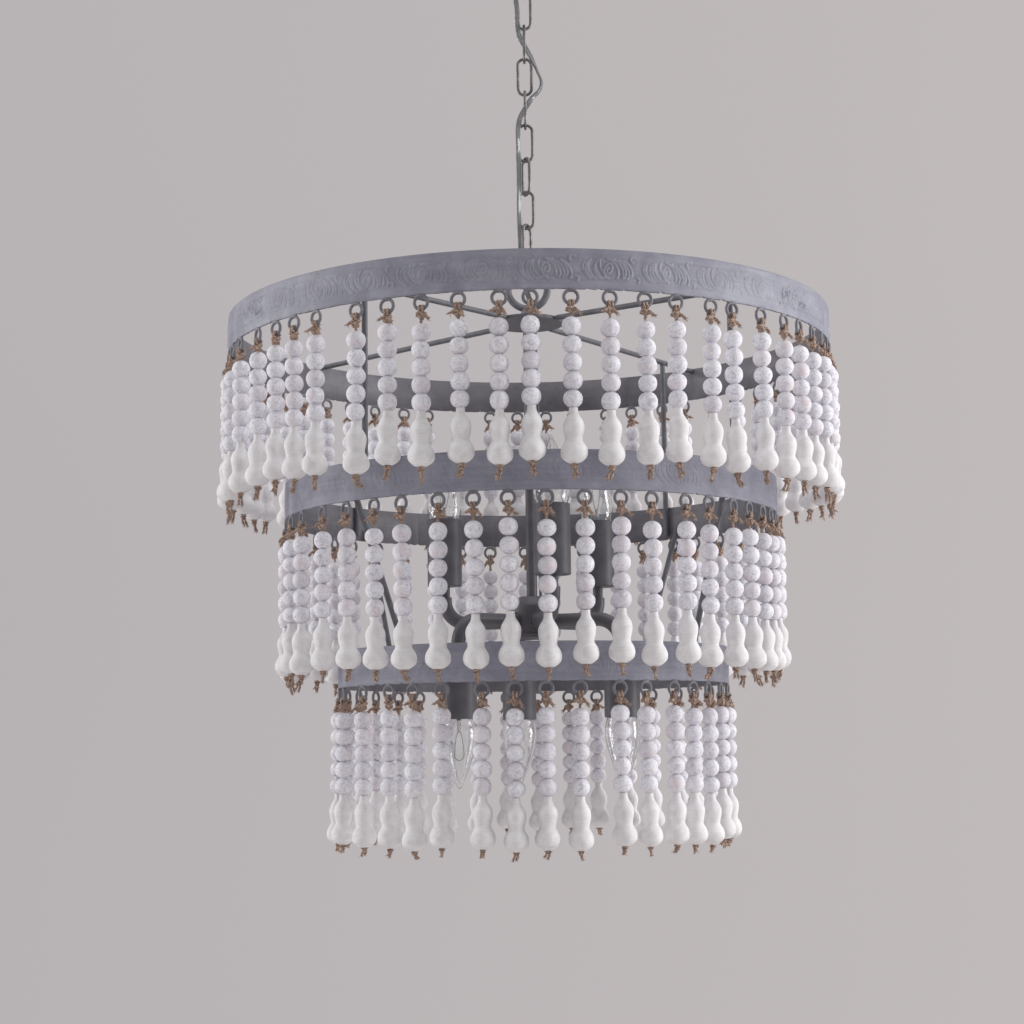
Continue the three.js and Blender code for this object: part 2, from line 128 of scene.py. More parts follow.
# The power cord's route, in metres, from the canopy to the lamp body
CORD_ROUTE = (
    (-0.015, 0, -0.01), (-0.015, 0, -0.026), (-0.0142, 0, -0.036), (-0.011, -0.0022, -0.048),
    (-0.008, -0.0048, -0.06), (-0.0068, -0.0054, -0.073), (-0.0064, -0.0046, -0.086),
    (-0.0048, -0.0016, -0.0965), (0, 0.0008, -0.106), (0.006, 0.0029, -0.1165),
    (0.0116, 0.0025, -0.129), (0.0142, 0.0016, -0.136), (0.0167, 0.0008, -0.1424),
    (0.0172, 0, -0.1468), (0.0164, -0.0009, -0.152), (0.014, -0.0018, -0.1566),
    (0.0098, -0.0025, -0.161), (0.0055, -0.0029, -0.1662), (-0.0006, -0.0008, -0.1755),
    (-0.0054, -0.0026, -0.1855), (-0.0072, -0.0049, -0.196), (-0.0076, -0.0054, -0.211),
    (-0.0074, -0.0049, -0.226), (-0.007, -0.0036, -0.246), (-0.0072, -0.0048, -0.263),
    (-0.0076, -0.0052, -0.281), (-0.0072, -0.0046, -0.298), (-0.0064, -0.0015, -0.315),
    (-0.0062, 0.004, -0.33), (-0.0058, 0.0082, -0.343), (-0.0034, 0.0098, -0.356),
    (0.0015, 0.01, -0.37), (0.0054, 0.0084, -0.383), (0.0066, 0.0067, -0.394),
    (0.0066, 0.0066, -0.404), (0.0069, 0.0061, -0.425), (0.0077, 0.0047, -0.47),
    (0.0079, 0.0042, -0.52), (0.0076, 0.0048, -0.57), (0.008, 0.0039, -0.62),
    (0.0085, 0.0022, -0.655), (0.0087, 0.0015, -0.668), (0.0087, 0.0015, -0.68),
)
# How far the flat cord is turned about its own length at each height, in degrees
CORD_TURNS = (
    (-0.01, 0), (-0.1, 10), (-0.118, 25), (-0.13, 68), (-0.156, 72), (-0.168, 20), (-0.19, 0),
    (-0.203, 30), (-0.209, 38), (-0.22, 40), (-0.232, 8), (-0.25, -4), (-0.26, 34), (-0.282, 41),
    (-0.296, 12), (-0.31, 0), (-0.35, 20), (-0.37, -8), (-0.383, -33), (-0.4, -45), (-0.52, -62),
    (-0.68, -76),
)

# Each soft light's name, place, width, height and power in watts, all turned towards one point
LIGHTS = (
    ("front light", (0.2, -2.7, -1.9), 2.4, 1.4, 9),
    ("left light", (-2.6, 0.2, -0.2), 1.0, 2.2, 40),
    ("right light", (2.6, -0.25, -0.2), 1.2, 2.2, 64),
    ("top light", (0.2, -0.2, 1.8), 1.8, 1.8, 16),
)
LIGHT_AIM = Vector((0, 0, -0.66))
# The floor lies a room's height below the ceiling
FLOOR_HEIGHT = -2.4
FLOOR_REACH = 4
FLOOR_COLOUR = "#cdc8c6"
# The wall's colour from left to right, as the camera sees it, darker to the left as painted shade
WALL_COLOURS = ((0.1, "#b5b0b2"), (0.9, "#c2bcbc"))
# How far to each side the wall's colour changes, as the sine of the angle from straight ahead
WALL_REACH = 0.34


def linear(hex_code):
    """A linear colour from an sRGB hex code."""
    parts = [int(hex_code[i:i + 2], 16) / 255 for i in (1, 3, 5)]
    return (*[p / 12.92 if p <= 0.04045 else ((p + 0.055) / 1.055) ** 2.4 for p in parts], 1.0)


def low(node):
    """The lowest height of a CAD node."""
    return CAD_BOXES[node][0][2]


def high(node):
    """The highest height of a CAD node."""
    return CAD_BOXES[node][1][2]


def middle(node):
    """The middle of a CAD node's box."""
    lowest, highest = CAD_BOXES[node]
    return Vector([(a + b) / 2 for a, b in zip(lowest, highest)])


def around(radius, degrees, height):
    """A place on a circle about the chandelier's axis."""
    angle = math.radians(degrees)
    return Vector((radius * math.cos(angle), radius * math.sin(angle), height))


def length_setting(name, description, millimetres):
    """A length that the panel shows, with its default in millimetres."""
    return bpy.props.FloatProperty(
        name=name, description=description, default=millimetres * MM, unit="LENGTH")


def tint_setting(name, description):
    """A colour that the panel shows, laid over a finish. White leaves the finish as it is."""
    return bpy.props.FloatVectorProperty(
        name=name, description=description, default=(1, 1, 1), size=3, min=0, max=1, subtype="COLOR")


class HoopSettings(bpy.types.PropertyGroup):
    """The flat hoops and the rings welded under them."""

    radii: bpy.props.FloatVectorProperty(
        name="Radii", description="Outer radius of the top, middle and bottom hoop",
        default=(0.3, 0.244, 0.192), size=3, unit="LENGTH")
    band_height: length_setting("Band height", "Height of the flat strip", 35.5)
    band_thickness: length_setting("Band thickness", "Thickness of the flat strip", 2)
    relief_height: length_setting("Relief height", "How far the scrolls stand out", 0.9)
    motif_width: length_setting("Motif width", "Length of one scroll motif along the strip", 54)
    ring_diameter: length_setting("Ring diameter", "Outer diameter of a string ring", 15)
    ring_wire: length_setting("Ring wire", "Wire diameter of a string ring", 3)


class StringSettings(bpy.types.PropertyGroup):
    """The bead strings."""

    bead_count: bpy.props.IntProperty(
        name="Beads", description="Round beads on a string", default=5, min=1)
    bead_diameter: length_setting("Bead diameter", "Width of a round bead", 17)
    bead_pitch: length_setting("Bead pitch", "Height of one round bead", 16.2)
    bead_drop: length_setting("Bead drop", "From the ring's wire down to the first bead", 9.3)
    gourd_height: length_setting("Gourd height", "Height of the gourd-shaped drop", 47)
    gourd_diameter: length_setting("Gourd diameter", "Width of the gourd-shaped drop", 23.4)
    twine_diameter: length_setting("Twine diameter", "Thickness of the jute twine", 2.9)
    seed: bpy.props.IntProperty(
        name="Seed", description="Seed of the hand-made unevenness", default=7)


class ChainSettings(bpy.types.PropertyGroup):
    """The chain and the clear cord woven through it."""

    link_length: length_setting("Link length", "Outer length of a link", 41.5)
    link_width: length_setting("Link width", "Outer width of a link", 17)
    link_wire: length_setting("Link wire", "Wire diameter of a link", 3)
    connector_length: length_setting("Connector length", "Outer length of the connecting link", 56)
    connector_width: length_setting("Connector width", "Outer width of the connecting link", 19)
    connector_wire: length_setting("Connector wire", "Wire diameter of the connecting link", 3.4)
    cord_width: length_setting("Cord width", "Width of the flat twin cord", 5.6)
    cord_thickness: length_setting("Cord thickness", "Thickness of the flat twin cord", 2.6)
    conductor_diameter: length_setting(
        "Conductor diameter", "Thickness of each bunch of wires in the cord", 1.3)


class FrameSettings(bpy.types.PropertyGroup):
    """The hanging ring, the rods and the canopy."""

    rod_diameter: length_setting("Rod diameter", "Thickness of the welded rods", 5.5)
    hub_radius: length_setting("Hub radius", "Radius of the hub plate", 36)
    ring_diameter: length_setting("Hanging ring", "Outer diameter of the hanging ring", 47)
    ring_wire: length_setting("Hanging ring wire", "Wire diameter of the hanging ring", 7.2)
    canopy_radius: length_setting("Canopy radius", "Radius of the ceiling canopy", 62.5)
    canopy_wall: length_setting("Canopy wall", "Wall of the ceiling canopy", 1.5)


class LampSettings(bpy.types.PropertyGroup):
    """The candle lamps and their arms."""

    circle: length_setting("Lamp circle", "Radius of the circle that the lamps stand on", 92)
    arm_diameter: length_setting("Arm diameter", "Thickness of an arm", 13.6)
    arm_bend: length_setting("Arm bend", "Radius of an arm's elbow", 24)
    sleeve_diameter: length_setting("Sleeve diameter", "Width of a candle sleeve", 34.7)
    sleeve_length: length_setting("Sleeve length", "Length of a candle sleeve", 67.7)
    sleeve_wall: length_setting("Sleeve wall", "Wall of a candle sleeve", 1.2)
    bulb_diameter: length_setting("Bulb diameter", "Width of a candle bulb", 35)
    bulb_length: length_setting("Bulb glass length", "Length of a bulb's glass", 76)
    glass_wall: length_setting("Glass wall", "Wall of a bulb's glass", 0.7)


class TintSettings(bpy.types.PropertyGroup):
    """Colours to lay over the finishes."""

    paint: tint_setting("Paint", "Laid over the paint of the hoops, rings, rods and canopy")
    lamps: tint_setting("Lamps", "Laid over the enamel of the stem and the lamps")
    wood: tint_setting("Wood", "Laid over the whitewash of the beads and drops")
    twine: tint_setting("Twine", "Laid over the jute")
    fittings: tint_setting("Fittings", "Laid over the chain, the cord, the bulbs and their holders")


class StageSettings(bpy.types.PropertyGroup):
    """The camera, lights and background."""

    camera_place: bpy.props.FloatVectorProperty(
        name="Camera place", description="Where the camera stands",
        default=(-0.0188, -1.8275, -0.8143), size=3, unit="LENGTH")
    camera_pitch: bpy.props.FloatProperty(
        name="Camera pitch", description="How far the camera looks up",
        default=math.radians(6.97), unit="ROTATION")
    camera_roll: bpy.props.FloatProperty(
        name="Camera roll", description="How far the camera leans to one side",
        default=math.radians(-0.75), unit="ROTATION")
    camera_lens: bpy.props.FloatProperty(
        name="Lens", description="Focal length on a 36 mm sensor", default=64.76)
    ambient: bpy.props.FloatProperty(
        name="Ambient", description="Strength of the even light from all round", default=0.56)


class ChandelierSettings(bpy.types.PropertyGroup):
    """Every size and colour that the panel shows."""

    stage: bpy.props.PointerProperty(type=StageSettings)
    tints: bpy.props.PointerProperty(type=TintSettings)
    chain: bpy.props.PointerProperty(type=ChainSettings)
    frame: bpy.props.PointerProperty(type=FrameSettings)
    hoops: bpy.props.PointerProperty(type=HoopSettings)
    strings: bpy.props.PointerProperty(type=StringSettings)
    lamps: bpy.props.PointerProperty(type=LampSettings)


def result(node):
    """The first output of a node that is in use."""
    return next(s for s in node.outputs if s.enabled)


def add_node(tree, kind, links=None, **settings):
    """Adds a node, sets its properties, and fills its inputs, by name or number.

    An input takes a value, or is joined to a socket or to the first output of a node."""
    node = tree.nodes.new(kind)
    for key, value in settings.items():
        setattr(node, key, value)
    for key, value in (links or {}).items():
        socket = node.inputs[key] if isinstance(key, int) else next(
            s for s in node.inputs if s.enabled and s.name == key)
        if isinstance(value, bpy.types.Node):
            value = result(value)
        if isinstance(value, bpy.types.NodeSocket):
            tree.links.new(value, socket)
        else:
            socket.default_value = value
    return node


def start_finish(name):
    """A new material, its node tree and the piece's own coordinates in metres."""
    finish = bpy.data.materials.new(name)
    finish.use_nodes = True
    tree = finish.node_tree
    tree.nodes.clear()
    return finish, tree, add_node(tree, "ShaderNodeTexCoord").outputs["Object"]


# The shader's inputs that a finish sets to one value
SHADER_INPUTS = {
    "roughness": "Roughness", "specular": "Specular IOR Level", "metallic": "Metallic",
    "transmission": "Transmission Weight", "ior": "IOR",
}


def end_finish(finish, colour, relief=None, **values):
    """Adds the shader with its colour, its fine relief and its plain values.

    The relief is a pattern, its depth and its strength."""
    tree = finish.node_tree
    inputs = {"Base Color": colour}
    if relief:
        height, depth, strength = relief
        inputs["Normal"] = add_node(tree, "ShaderNodeBump", {
            "Height": height, "Distance": depth, "Strength": strength})
    inputs.update((SHADER_INPUTS[word], value) for word, value in values.items())
    shader = add_node(tree, "ShaderNodeBsdfPrincipled", inputs)
    add_node(tree, "ShaderNodeOutputMaterial", {"Surface": shader})
    return finish


def every(millimetres):
    """The scale of a pattern whose marks come about every so many millimetres."""
    return 1 / (millimetres * MM)


def bands_every(millimetres):
    """The scale of a wave pattern whose bands come about every so many millimetres."""
    # A wave turns through 20 radians in one unit of its pattern
    return every(millimetres) * FULL_TURN / 20


def set_ramp(node, *stops):
    """Fills a colour ramp from pairs of position and hex code."""
    ramp = node.color_ramp
    while len(ramp.elements) < len(stops):
        ramp.elements.new(1.0)
    for element, (position, hex_code) in zip(ramp.elements, stops):
        element.position = position
        element.color = linear(hex_code)
    return node


def mottle(tree, place, spacing, *stops, **settings):
    """A cloudy pattern with a mark every so many millimetres, and the shade that it gives."""
    pattern = add_node(tree, "ShaderNodeTexNoise", {
        "Vector": place, "Scale": every(spacing),
        **{word.capitalize(): value for word, value in settings.items()}})
    return pattern, set_ramp(add_node(tree, "ShaderNodeValToRGB", {"Fac": pattern}), *stops)


def chalk_paint():
    """Brushed chalk paint on embossed steel strip.

    Cloudy blue-grey brushed along the strip, with a painted highlight on the scrolls and painted shade in the
    hollows beside them, chipped at the lower edge."""
    finish, tree, place = start_finish("Brushed chalk paint")
    shade = mottle(
        tree, place, 26.32, (0.3, "#84848f"), (0.52, "#92929d"), (0.72, "#a0a0aa"),
        detail=7, roughness=0.62, distortion=0.6)[1]
    squeeze = add_node(tree, "ShaderNodeMapping", {
        "Vector": place, "Scale": (every(55.56), every(55.56), every(2.381))})
    strokes = add_node(tree, "ShaderNodeTexNoise", {
        "Vector": squeeze, "Scale": 1.0, "Detail": 3.0, "Roughness": 0.5})
    brushed = add_node(tree, "ShaderNodeMix", {
        "Factor": strokes, "A": shade, "B": linear("#8f8f98")},
        data_type="RGBA", blend_type="SOFT_LIGHT")
    relief, hollow, edge, rim = [
        add_node(tree, "ShaderNodeAttribute", attribute_name=key).outputs["Fac"]
        for key in ("relief", "hollow", "edge", "rim")]
    # Painted highlight: the raised scrolls are drawn lighter
    raised = add_node(tree, "ShaderNodeMath", {0: relief, 1: 0.13}, operation="MULTIPLY")
    lifted = add_node(tree, "ShaderNodeMix", {
        "Factor": raised, "A": brushed, "B": linear("#b6b6c0")}, data_type="RGBA")
    # Painted shade: the hollow beside each scroll is drawn darker
    sunk = add_node(tree, "ShaderNodeMath", {0: hollow, 1: 0.25}, operation="MULTIPLY")
    hollow_painted_shade = add_node(tree, "ShaderNodeMix", {
        "Factor": sunk, "A": lifted, "B": linear("#66666f")}, data_type="RGBA")
    chips = add_node(tree, "ShaderNodeTexNoise", {
        "Vector": place, "Scale": every(3.846), "Detail": 4.0, "Roughness": 0.7})
    chipped = add_node(tree, "ShaderNodeMath", {0: chips, 1: edge}, operation="MULTIPLY")
    bare = add_node(tree, "ShaderNodeMapRange", {
        "Value": chipped, "From Min": 0.42, "From Max": 0.56, "To Max": 0.85})
    worn = add_node(tree, "ShaderNodeMix", {
        "Factor": bare, "A": hollow_painted_shade, "B": linear("#505055")}, data_type="RGBA")
    # The top rim is drawn darker, in a thin dark line along the top edge
    mark_share = add_node(tree, "ShaderNodeMapRange", {
        "Value": rim, "From Min": 0.05, "From Max": 0.6, "To Max": 0.85})
    edged = add_node(tree, "ShaderNodeMix", {
        "Factor": mark_share, "A": worn, "B": linear("#3c3c40")}, data_type="RGBA")
    grain = add_node(tree, "ShaderNodeTexNoise", {
        "Vector": place, "Scale": every(2.381), "Detail": 5.0, "Roughness": 0.6})
    return end_finish(finish, edged, (grain, 0.25 * MM, 0.45), roughness=0.56, specular=0.42)


def inner_paint():
    """The same paint sprayed thin over dark primer inside the hoops: uneven, with pale rubs."""
    finish, tree, place = start_finish("Thin paint over primer")
    clouds, shade = mottle(
        tree, place, 38.46, (0.32, "#59575e"), (0.55, "#68666d"), (0.78, "#7a787e"),
        detail=6, roughness=0.6, distortion=1.2)
    squeeze = add_node(tree, "ShaderNodeMapping", {
        "Vector": place, "Scale": (every(83.33), every(83.33), every(1.923))})
    rubs = add_node(tree, "ShaderNodeTexNoise", {"Vector": squeeze, "Scale": 1.0, "Detail": 2.0})
    mark_share = add_node(tree, "ShaderNodeMapRange", {
        "Value": rubs, "From Min": 0.58, "From Max": 0.8, "To Max": 0.35})
    mixed = add_node(tree, "ShaderNodeMix", {
        "Factor": mark_share, "A": shade, "B": linear("#88868d")}, data_type="RGBA")
    return end_finish(finish, mixed, (clouds, 0.3 * MM, 0.3), roughness=0.5)


def sprayed_paint(name, spacing, peel_spacing, peel_depth, roughness, *stops):
    """Paint sprayed on round rod, wire and tube: a cloudy grey with a faint orange-peel skin."""
    finish, tree, place = start_finish(name)
    shade = mottle(tree, place, spacing, *stops, detail=5, roughness=0.55)[1]
    peel = add_node(tree, "ShaderNodeTexNoise", {
        "Vector": place, "Scale": every(peel_spacing), "Detail": 2.0})
    return end_finish(finish, shade, (peel, peel_depth * MM, 0.4), roughness=roughness)


def ring_paint():
    """Light grey sprayed paint, as on the hanging ring, the string rings and the canopy."""
    return sprayed_paint("Sprayed ring paint", 11.11, 1.429, 0.12, 0.5,
                         (0.3, "#626168"), (0.55, "#737279"), (0.8, "#838289"))


def rod_paint_shaded():
    """The frame's sprayed paint drawn darker as painted shade, as on the rods and the hub plate, whose
    undersides are in shade.
    """
    return sprayed_paint("Sprayed rod paint", 11.11, 1.429, 0.12, 0.5,
                         (0.3, "#545459"), (0.55, "#616167"), (0.8, "#707076"))


def dark_enamel():
    """Satin enamel on the lamp tubes: slate grey, a little cloudy, with a low sheen."""
    return sprayed_paint("Satin slate enamel", 16.67, 1.923, 0.1, 0.46,
                         (0.3, "#4e4c52"), (0.55, "#5a585e"), (0.8, "#67656b"))


def zinc_wire():
    """Zinc-plated steel wire: dull dark grey metal with faint tarnish and soft highlights."""
    finish, tree, place = start_finish("Zinc-plated steel wire")
    tarnish, shade = mottle(
        tree, place, 6.25, (0.34, "#62615f"), (0.5, "#767573"), (0.68, "#8d8b89"),
        detail=5, roughness=0.6)
    gloss = add_node(tree, "ShaderNodeMapRange", {
        "Value": tarnish, "From Min": 0.3, "From Max": 0.75, "To Min": 0.4, "To Max": 0.28})
    return end_finish(finish, shade, roughness=gloss, metallic=0.75)


def own_grain(tree, place):
    """The place turned by a different amount for each bead, so that no two show the same grain."""
    lot = add_node(tree, "ShaderNodeAttribute", attribute_name="lot").outputs["Fac"]
    turns = add_node(tree, "ShaderNodeVectorMath", {0: (5.0, 9.0, 13.0), "Scale": lot}, operation="SCALE")
    spun = add_node(tree, "ShaderNodeVectorRotate", {
        "Vector": place, "Rotation": turns}, rotation_type="EULER_XYZ")
    return lot, spun


def whitewashed_bead():
    """Whitewashed round beads: chalky white with grey and faintly pink swirls where the wash is thin."""
    finish, tree, place = start_finish("Whitewashed wood bead")
    lot, grain = own_grain(tree, place)
    swirl, shade = mottle(
        tree, grain, 6.061, (0.34, "#b9b6bf"), (0.43, "#d1ced7"), (0.53, "#e1dfe6"), (0.68, "#ebe9ef"),
        detail=6, roughness=0.68, distortion=2.2)
    blush = add_node(tree, "ShaderNodeTexNoise", {"Vector": grain, "Scale": every(16.13), "Detail": 3.0})
    pink = add_node(tree, "ShaderNodeMapRange", {
        "Value": blush, "From Min": 0.54, "From Max": 0.72, "To Max": 0.6})
    tinted = add_node(tree, "ShaderNodeMix", {
        "Factor": pink, "A": shade, "B": linear("#d8c8ca")}, data_type="RGBA")
    veins = add_node(tree, "ShaderNodeTexWave", {
        "Vector": grain, "Scale": bands_every(2.618), "Distortion": 7.0, "Detail": 3.0, "Detail Scale": 0.7,
        "Detail Roughness": 0.6}, wave_type="RINGS")
    thin = add_node(tree, "ShaderNodeMapRange", {
        "Value": veins.outputs["Fac"], "From Min": 0.74, "From Max": 1.0, "To Max": 0.1})
    veined = add_node(tree, "ShaderNodeMix", {
        "Factor": thin, "A": tinted, "B": linear("#a09ba1")}, data_type="RGBA")
    worn = add_node(tree, "ShaderNodeMapRange", {
        "Value": lot, "From Min": 0.55, "From Max": 1.0, "To Max": 0.3})
    aged = add_node(tree, "ShaderNodeMix", {
        "Factor": worn, "A": veined, "B": linear("#b1a7ae")}, data_type="RGBA")
    return end_finish(finish, aged, (swirl, 0.5 * MM, 0.5), roughness=0.72, specular=0.4)


def whitewashed_gourd():
    """Whitewashed turned drops: warmer white with the fine rings that the lathe left."""
    finish, tree, place = start_finish("Whitewashed turned wood")
    shade = mottle(
        tree, place, 11.765, (0.34, "#d4d0d2"), (0.5, "#dedbdd"), (0.66, "#e5e3e5"),
        detail=6, roughness=0.6, distortion=0.9)[1]
    rings = add_node(tree, "ShaderNodeTexWave", {
        "Vector": place, "Scale": bands_every(1.2083), "Distortion": 1.4, "Detail": 2.0, "Detail Scale": 0.4},
        bands_direction="Z").outputs["Fac"]
    ringed = add_node(tree, "ShaderNodeMapRange", {
        "Value": rings, "From Min": 0.62, "From Max": 1.0, "To Max": 0.22})
    turned = add_node(tree, "ShaderNodeMix", {
        "Factor": ringed, "A": shade, "B": linear("#aaa2a4")}, data_type="RGBA")
    return end_finish(finish, turned, (rings, 0.25 * MM, 0.35), roughness=0.74, specular=0.3)


def jute_twine():
    """Jute twine: tan plant fibre, drawn coarser than real, with dark gaps and pale hairs."""
    finish, tree, place = start_finish("Jute twine")
    strands, shade = mottle(
        tree, place, 1.613, (0.34, "#524139"), (0.44, "#8a7266"), (0.54, "#b29a8c"), (0.7, "#d6c6ba"),
        detail=5, roughness=0.7, distortion=1.5)
    return end_finish(finish, shade, (strands, 0.5 * MM, 0.8), roughness=0.9, specular=0.15)


def clear_pvc():
    """Clear soft PVC cord jacket: glassy grey with a slightly rippled, glossy skin."""
    finish, tree, place = start_finish("Clear PVC jacket")
    ripple, shade = mottle(tree, place, 9.091, (0.3, "#8e8f92"), (0.7, "#a2a3a6"), detail=2)
    return end_finish(finish, shade, (ripple, 0.4 * MM, 0.25), transmission=0.45, ior=1.5, roughness=0.1)


def tinned_wire():
    """Tinned copper strands seen through the jacket: soft silver, its twist drawn coarser than real."""
    finish, tree, place = start_finish("Tinned copper strands")
    twist = add_node(tree, "ShaderNodeTexWave", {
        "Vector": place, "Scale": bands_every(1.6535), "Distortion": 0.8, "Detail": 1.0},
        bands_direction="DIAGONAL").outputs["Fac"]
    shade = set_ramp(add_node(tree, "ShaderNodeValToRGB", {"Fac": twist}),
                     (0.2, "#86878a"), (0.8, "#a6a7aa"))
    return end_finish(finish, shade, metallic=0.9, roughness=0.38)


def bulb_glass():
    """Blown clear bulb glass: thin and bright-edged, with the faint waves of a blown wall."""
    finish, tree, place = start_finish("Blown clear glass")
    waves = add_node(tree, "ShaderNodeTexNoise", {"Vector": place, "Scale": every(18.18), "Detail": 1.0})
    return end_finish(finish, linear("#fafbfb"), (waves, 0.3 * MM, 0.1),
                      transmission=1.0, ior=1.5, roughness=0.0)


def nickel_cap():
    """Nickel-plated brass bulb cap: pale warm metal with scuffed thread crests."""
    finish, tree, place = start_finish("Nickel-plated brass")
    shade = mottle(tree, place, 3.333, (0.3, "#a09c92"), (0.7, "#c9c6be"), detail=4)[1]
    return end_finish(finish, shade, metallic=1.0, roughness=0.32)


def filament_wire():
    """Tungsten and its support wires: dark grey metal with brighter turns, drawn coarser than real."""
    finish, tree, place = start_finish("Tungsten wire")
    turns = add_node(tree, "ShaderNodeTexWave", {
        "Vector": place, "Scale": bands_every(0.34907)}, bands_direction="Z").outputs["Fac"]
    shade = set_ramp(add_node(tree, "ShaderNodeValToRGB", {"Fac": turns}),
                     (0.3, "#4d4b49"), (0.8, "#8d8a86"))
    return end_finish(finish, shade, metallic=0.9, roughness=0.35)


def holder_plastic():
    """Moulded heat-proof plastic lamp holder: off-white with a fine moulded grain."""
    finish, tree, place = start_finish("Moulded off-white plastic")
    grain, shade = mottle(tree, place, 2.083, (0.3, "#d3cfc4"), (0.7, "#dfdcd2"), detail=3)
    return end_finish(finish, shade, (grain, 0.08 * MM, 0.4), roughness=0.5)


# What makes each finish, and the tint that is laid over it
FINISHES = {
    "chalk": (chalk_paint, "paint"), "inner": (inner_paint, "paint"), "ring": (ring_paint, "paint"),
    "rod": (rod_paint_shaded, "paint"), "enamel": (dark_enamel, "lamps"), "bead": (whitewashed_bead, "wood"),
    "gourd": (whitewashed_gourd, "wood"), "jute": (jute_twine, "twine"), "zinc": (zinc_wire, "fittings"),
    "pvc": (clear_pvc, "fittings"), "tinned": (tinned_wire, "fittings"),
    "glass": (bulb_glass, "fittings"), "nickel": (nickel_cap, "fittings"),
    "filament": (filament_wire, "fittings"), "holder": (holder_plastic, "fittings"),
}
made_finishes = {}


def lay_tint(finish, tint_colour):
    """Lays a colour over a finish's own colour."""
    tree = finish.node_tree
    socket = tree.nodes["Principled BSDF"].inputs["Base Color"]
    if socket.is_linked:
        laid = add_node(tree, "ShaderNodeMix", {
            "Factor": 1.0, "A": socket.links[0].from_socket, "B": (*tint_colour, 1.0)},
            data_type="RGBA", blend_type="MULTIPLY")
        tree.links.new(result(laid), socket)
    else:
        laid = [own * over for own, over in zip(socket.default_value, tint_colour)]
        socket.default_value = (*laid, 1.0)


def finish_named(key):
    """A finish, made and tinted the first time that it is asked for."""
    if key not in made_finishes:
        make_finish, tint_name = FINISHES[key]
        made_finishes[key] = make_finish()
        lay_tint(made_finishes[key], getattr(bpy.context.scene.chandelier.tints, tint_name))
    return made_finishes[key]


# Faces that meet at less than this angle are shaded smooth
SMOOTH_DEGREES = 42


class Shape:
    """Corners and faces, with a finish number for each face."""

    def __init__(self):
        self.corners = []
        self.faces = []
        self.finish_numbers = []

    def add(self, corners_and_faces, finish_number=0, matrix=None):
        """Adds corners and faces, moved by a matrix if there is one."""
        corners, faces = corners_and_faces
        first = len(self.corners)
        moved = [matrix @ Vector(c) for c in corners] if matrix else corners
        self.corners.extend(tuple(c) for c in moved)
        self.faces.extend(tuple(first + i for i in face) for face in faces)
        self.finish_numbers.extend([finish_number] * len(faces))
        return self

    def mesh(self, name, finishes, corner_degrees=SMOOTH_DEGREES):
        """A mesh with its finishes and smooth shading up to a corner angle."""
        mesh = bpy.data.meshes.new(name)
        mesh.from_pydata(self.corners, [], self.faces)
        for key in finishes:
            mesh.materials.append(finish_named(key))
        mesh.polygons.foreach_set("material_index", self.finish_numbers)
        mesh.shade_smooth()
        mesh.set_sharp_from_angle(angle=math.radians(corner_degrees))
        mesh.update()
        return mesh


def new_piece(name, mesh):
    """An object for a mesh, in the scene."""
    piece = bpy.data.objects.new(name, mesh)
    bpy.context.scene.collection.objects.link(piece)
    return piece


def settle(piece, body, slot, *nodes):
    """Hides a piece's CAD nodes and puts it on the body that it rides on. The slot is not used."""
    if nodes:
        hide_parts(*nodes)
    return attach(piece, body)


def add_piece(name, shape, finishes, body, slot, *nodes, corner_degrees=SMOOTH_DEGREES):
    """Makes a shape into a piece and settles it."""
    return settle(new_piece(name, shape.mesh(name, finishes, corner_degrees)), body, slot, *nodes)


def lathe(outline, sides, closed=False):
    """A turned shape about Z. The outline is radius and height pairs from the bottom up the outside."""
    corners, rows = [], []
    for radius, height in outline:
        if radius < TINY:
            rows.append([len(corners)])
            corners.append((0.0, 0.0, height))
            continue
        rows.append([len(corners) + i for i in range(sides)])
        for i in range(sides):
            angle = FULL_TURN * i / sides
            corners.append((radius * math.cos(angle), radius * math.sin(angle), height))
    faces = []
    for below, above in zip(rows, rows[1:] + (rows[:1] if closed else [])):
        for i in range(sides):
            j = (i + 1) % sides
            if len(below) == 1 and len(above) == 1:
                continue
            if len(below) == 1:
                faces.append((below[0], above[j], above[i]))
            elif len(above) == 1:
                faces.append((below[i], below[j], above[0]))
            else:
                faces.append((below[i], below[j], above[j], above[i]))
    return corners, faces


def round_section(radius, sides):
    """The corners of a round section."""
    return [(radius * math.cos(FULL_TURN * i / sides), radius * math.sin(FULL_TURN * i / sides))
            for i in range(sides)]


def sweep(path, section, scales=None, wide=None, closed=False, caps=(True, True), twist=0.0):
    """A section carried along a path. wide gives the direction of the section's first axis."""
    places = [Vector(p) for p in path]
    count, sides = len(places), len(section)
    corners, faces = [], []
    side = None
    for i, place in enumerate(places):
        after = places[(i + 1) % count] if closed else places[min(i + 1, count - 1)]
        before = places[i - 1] if closed or i else places[0]
        ahead = (after - before).normalized()
        if wide:
            side = wide[i]
        elif side is None:
            side = ahead.orthogonal()
        side = (side - ahead * side.dot(ahead)).normalized()
        other = ahead.cross(side)
        scale = scales[i] if scales else 1.0
        first = (side * math.cos(twist * i) + other * math.sin(twist * i)) * scale
        second = (other * math.cos(twist * i) - side * math.sin(twist * i)) * scale
        corners.extend(place + first * u + second * v for u, v in section)
    for k in range(count if closed else count - 1):
        here, there = k * sides, ((k + 1) % count) * sides
        for i in range(sides):
            j = (i + 1) % sides
            faces.append((here + i, here + j, there + j, there + i))
    if not closed and caps[0]:
        faces.append(tuple(reversed(range(sides))))
    if not closed and caps[1]:
        faces.append(tuple((count - 1) * sides + i for i in range(sides)))
    return corners, faces


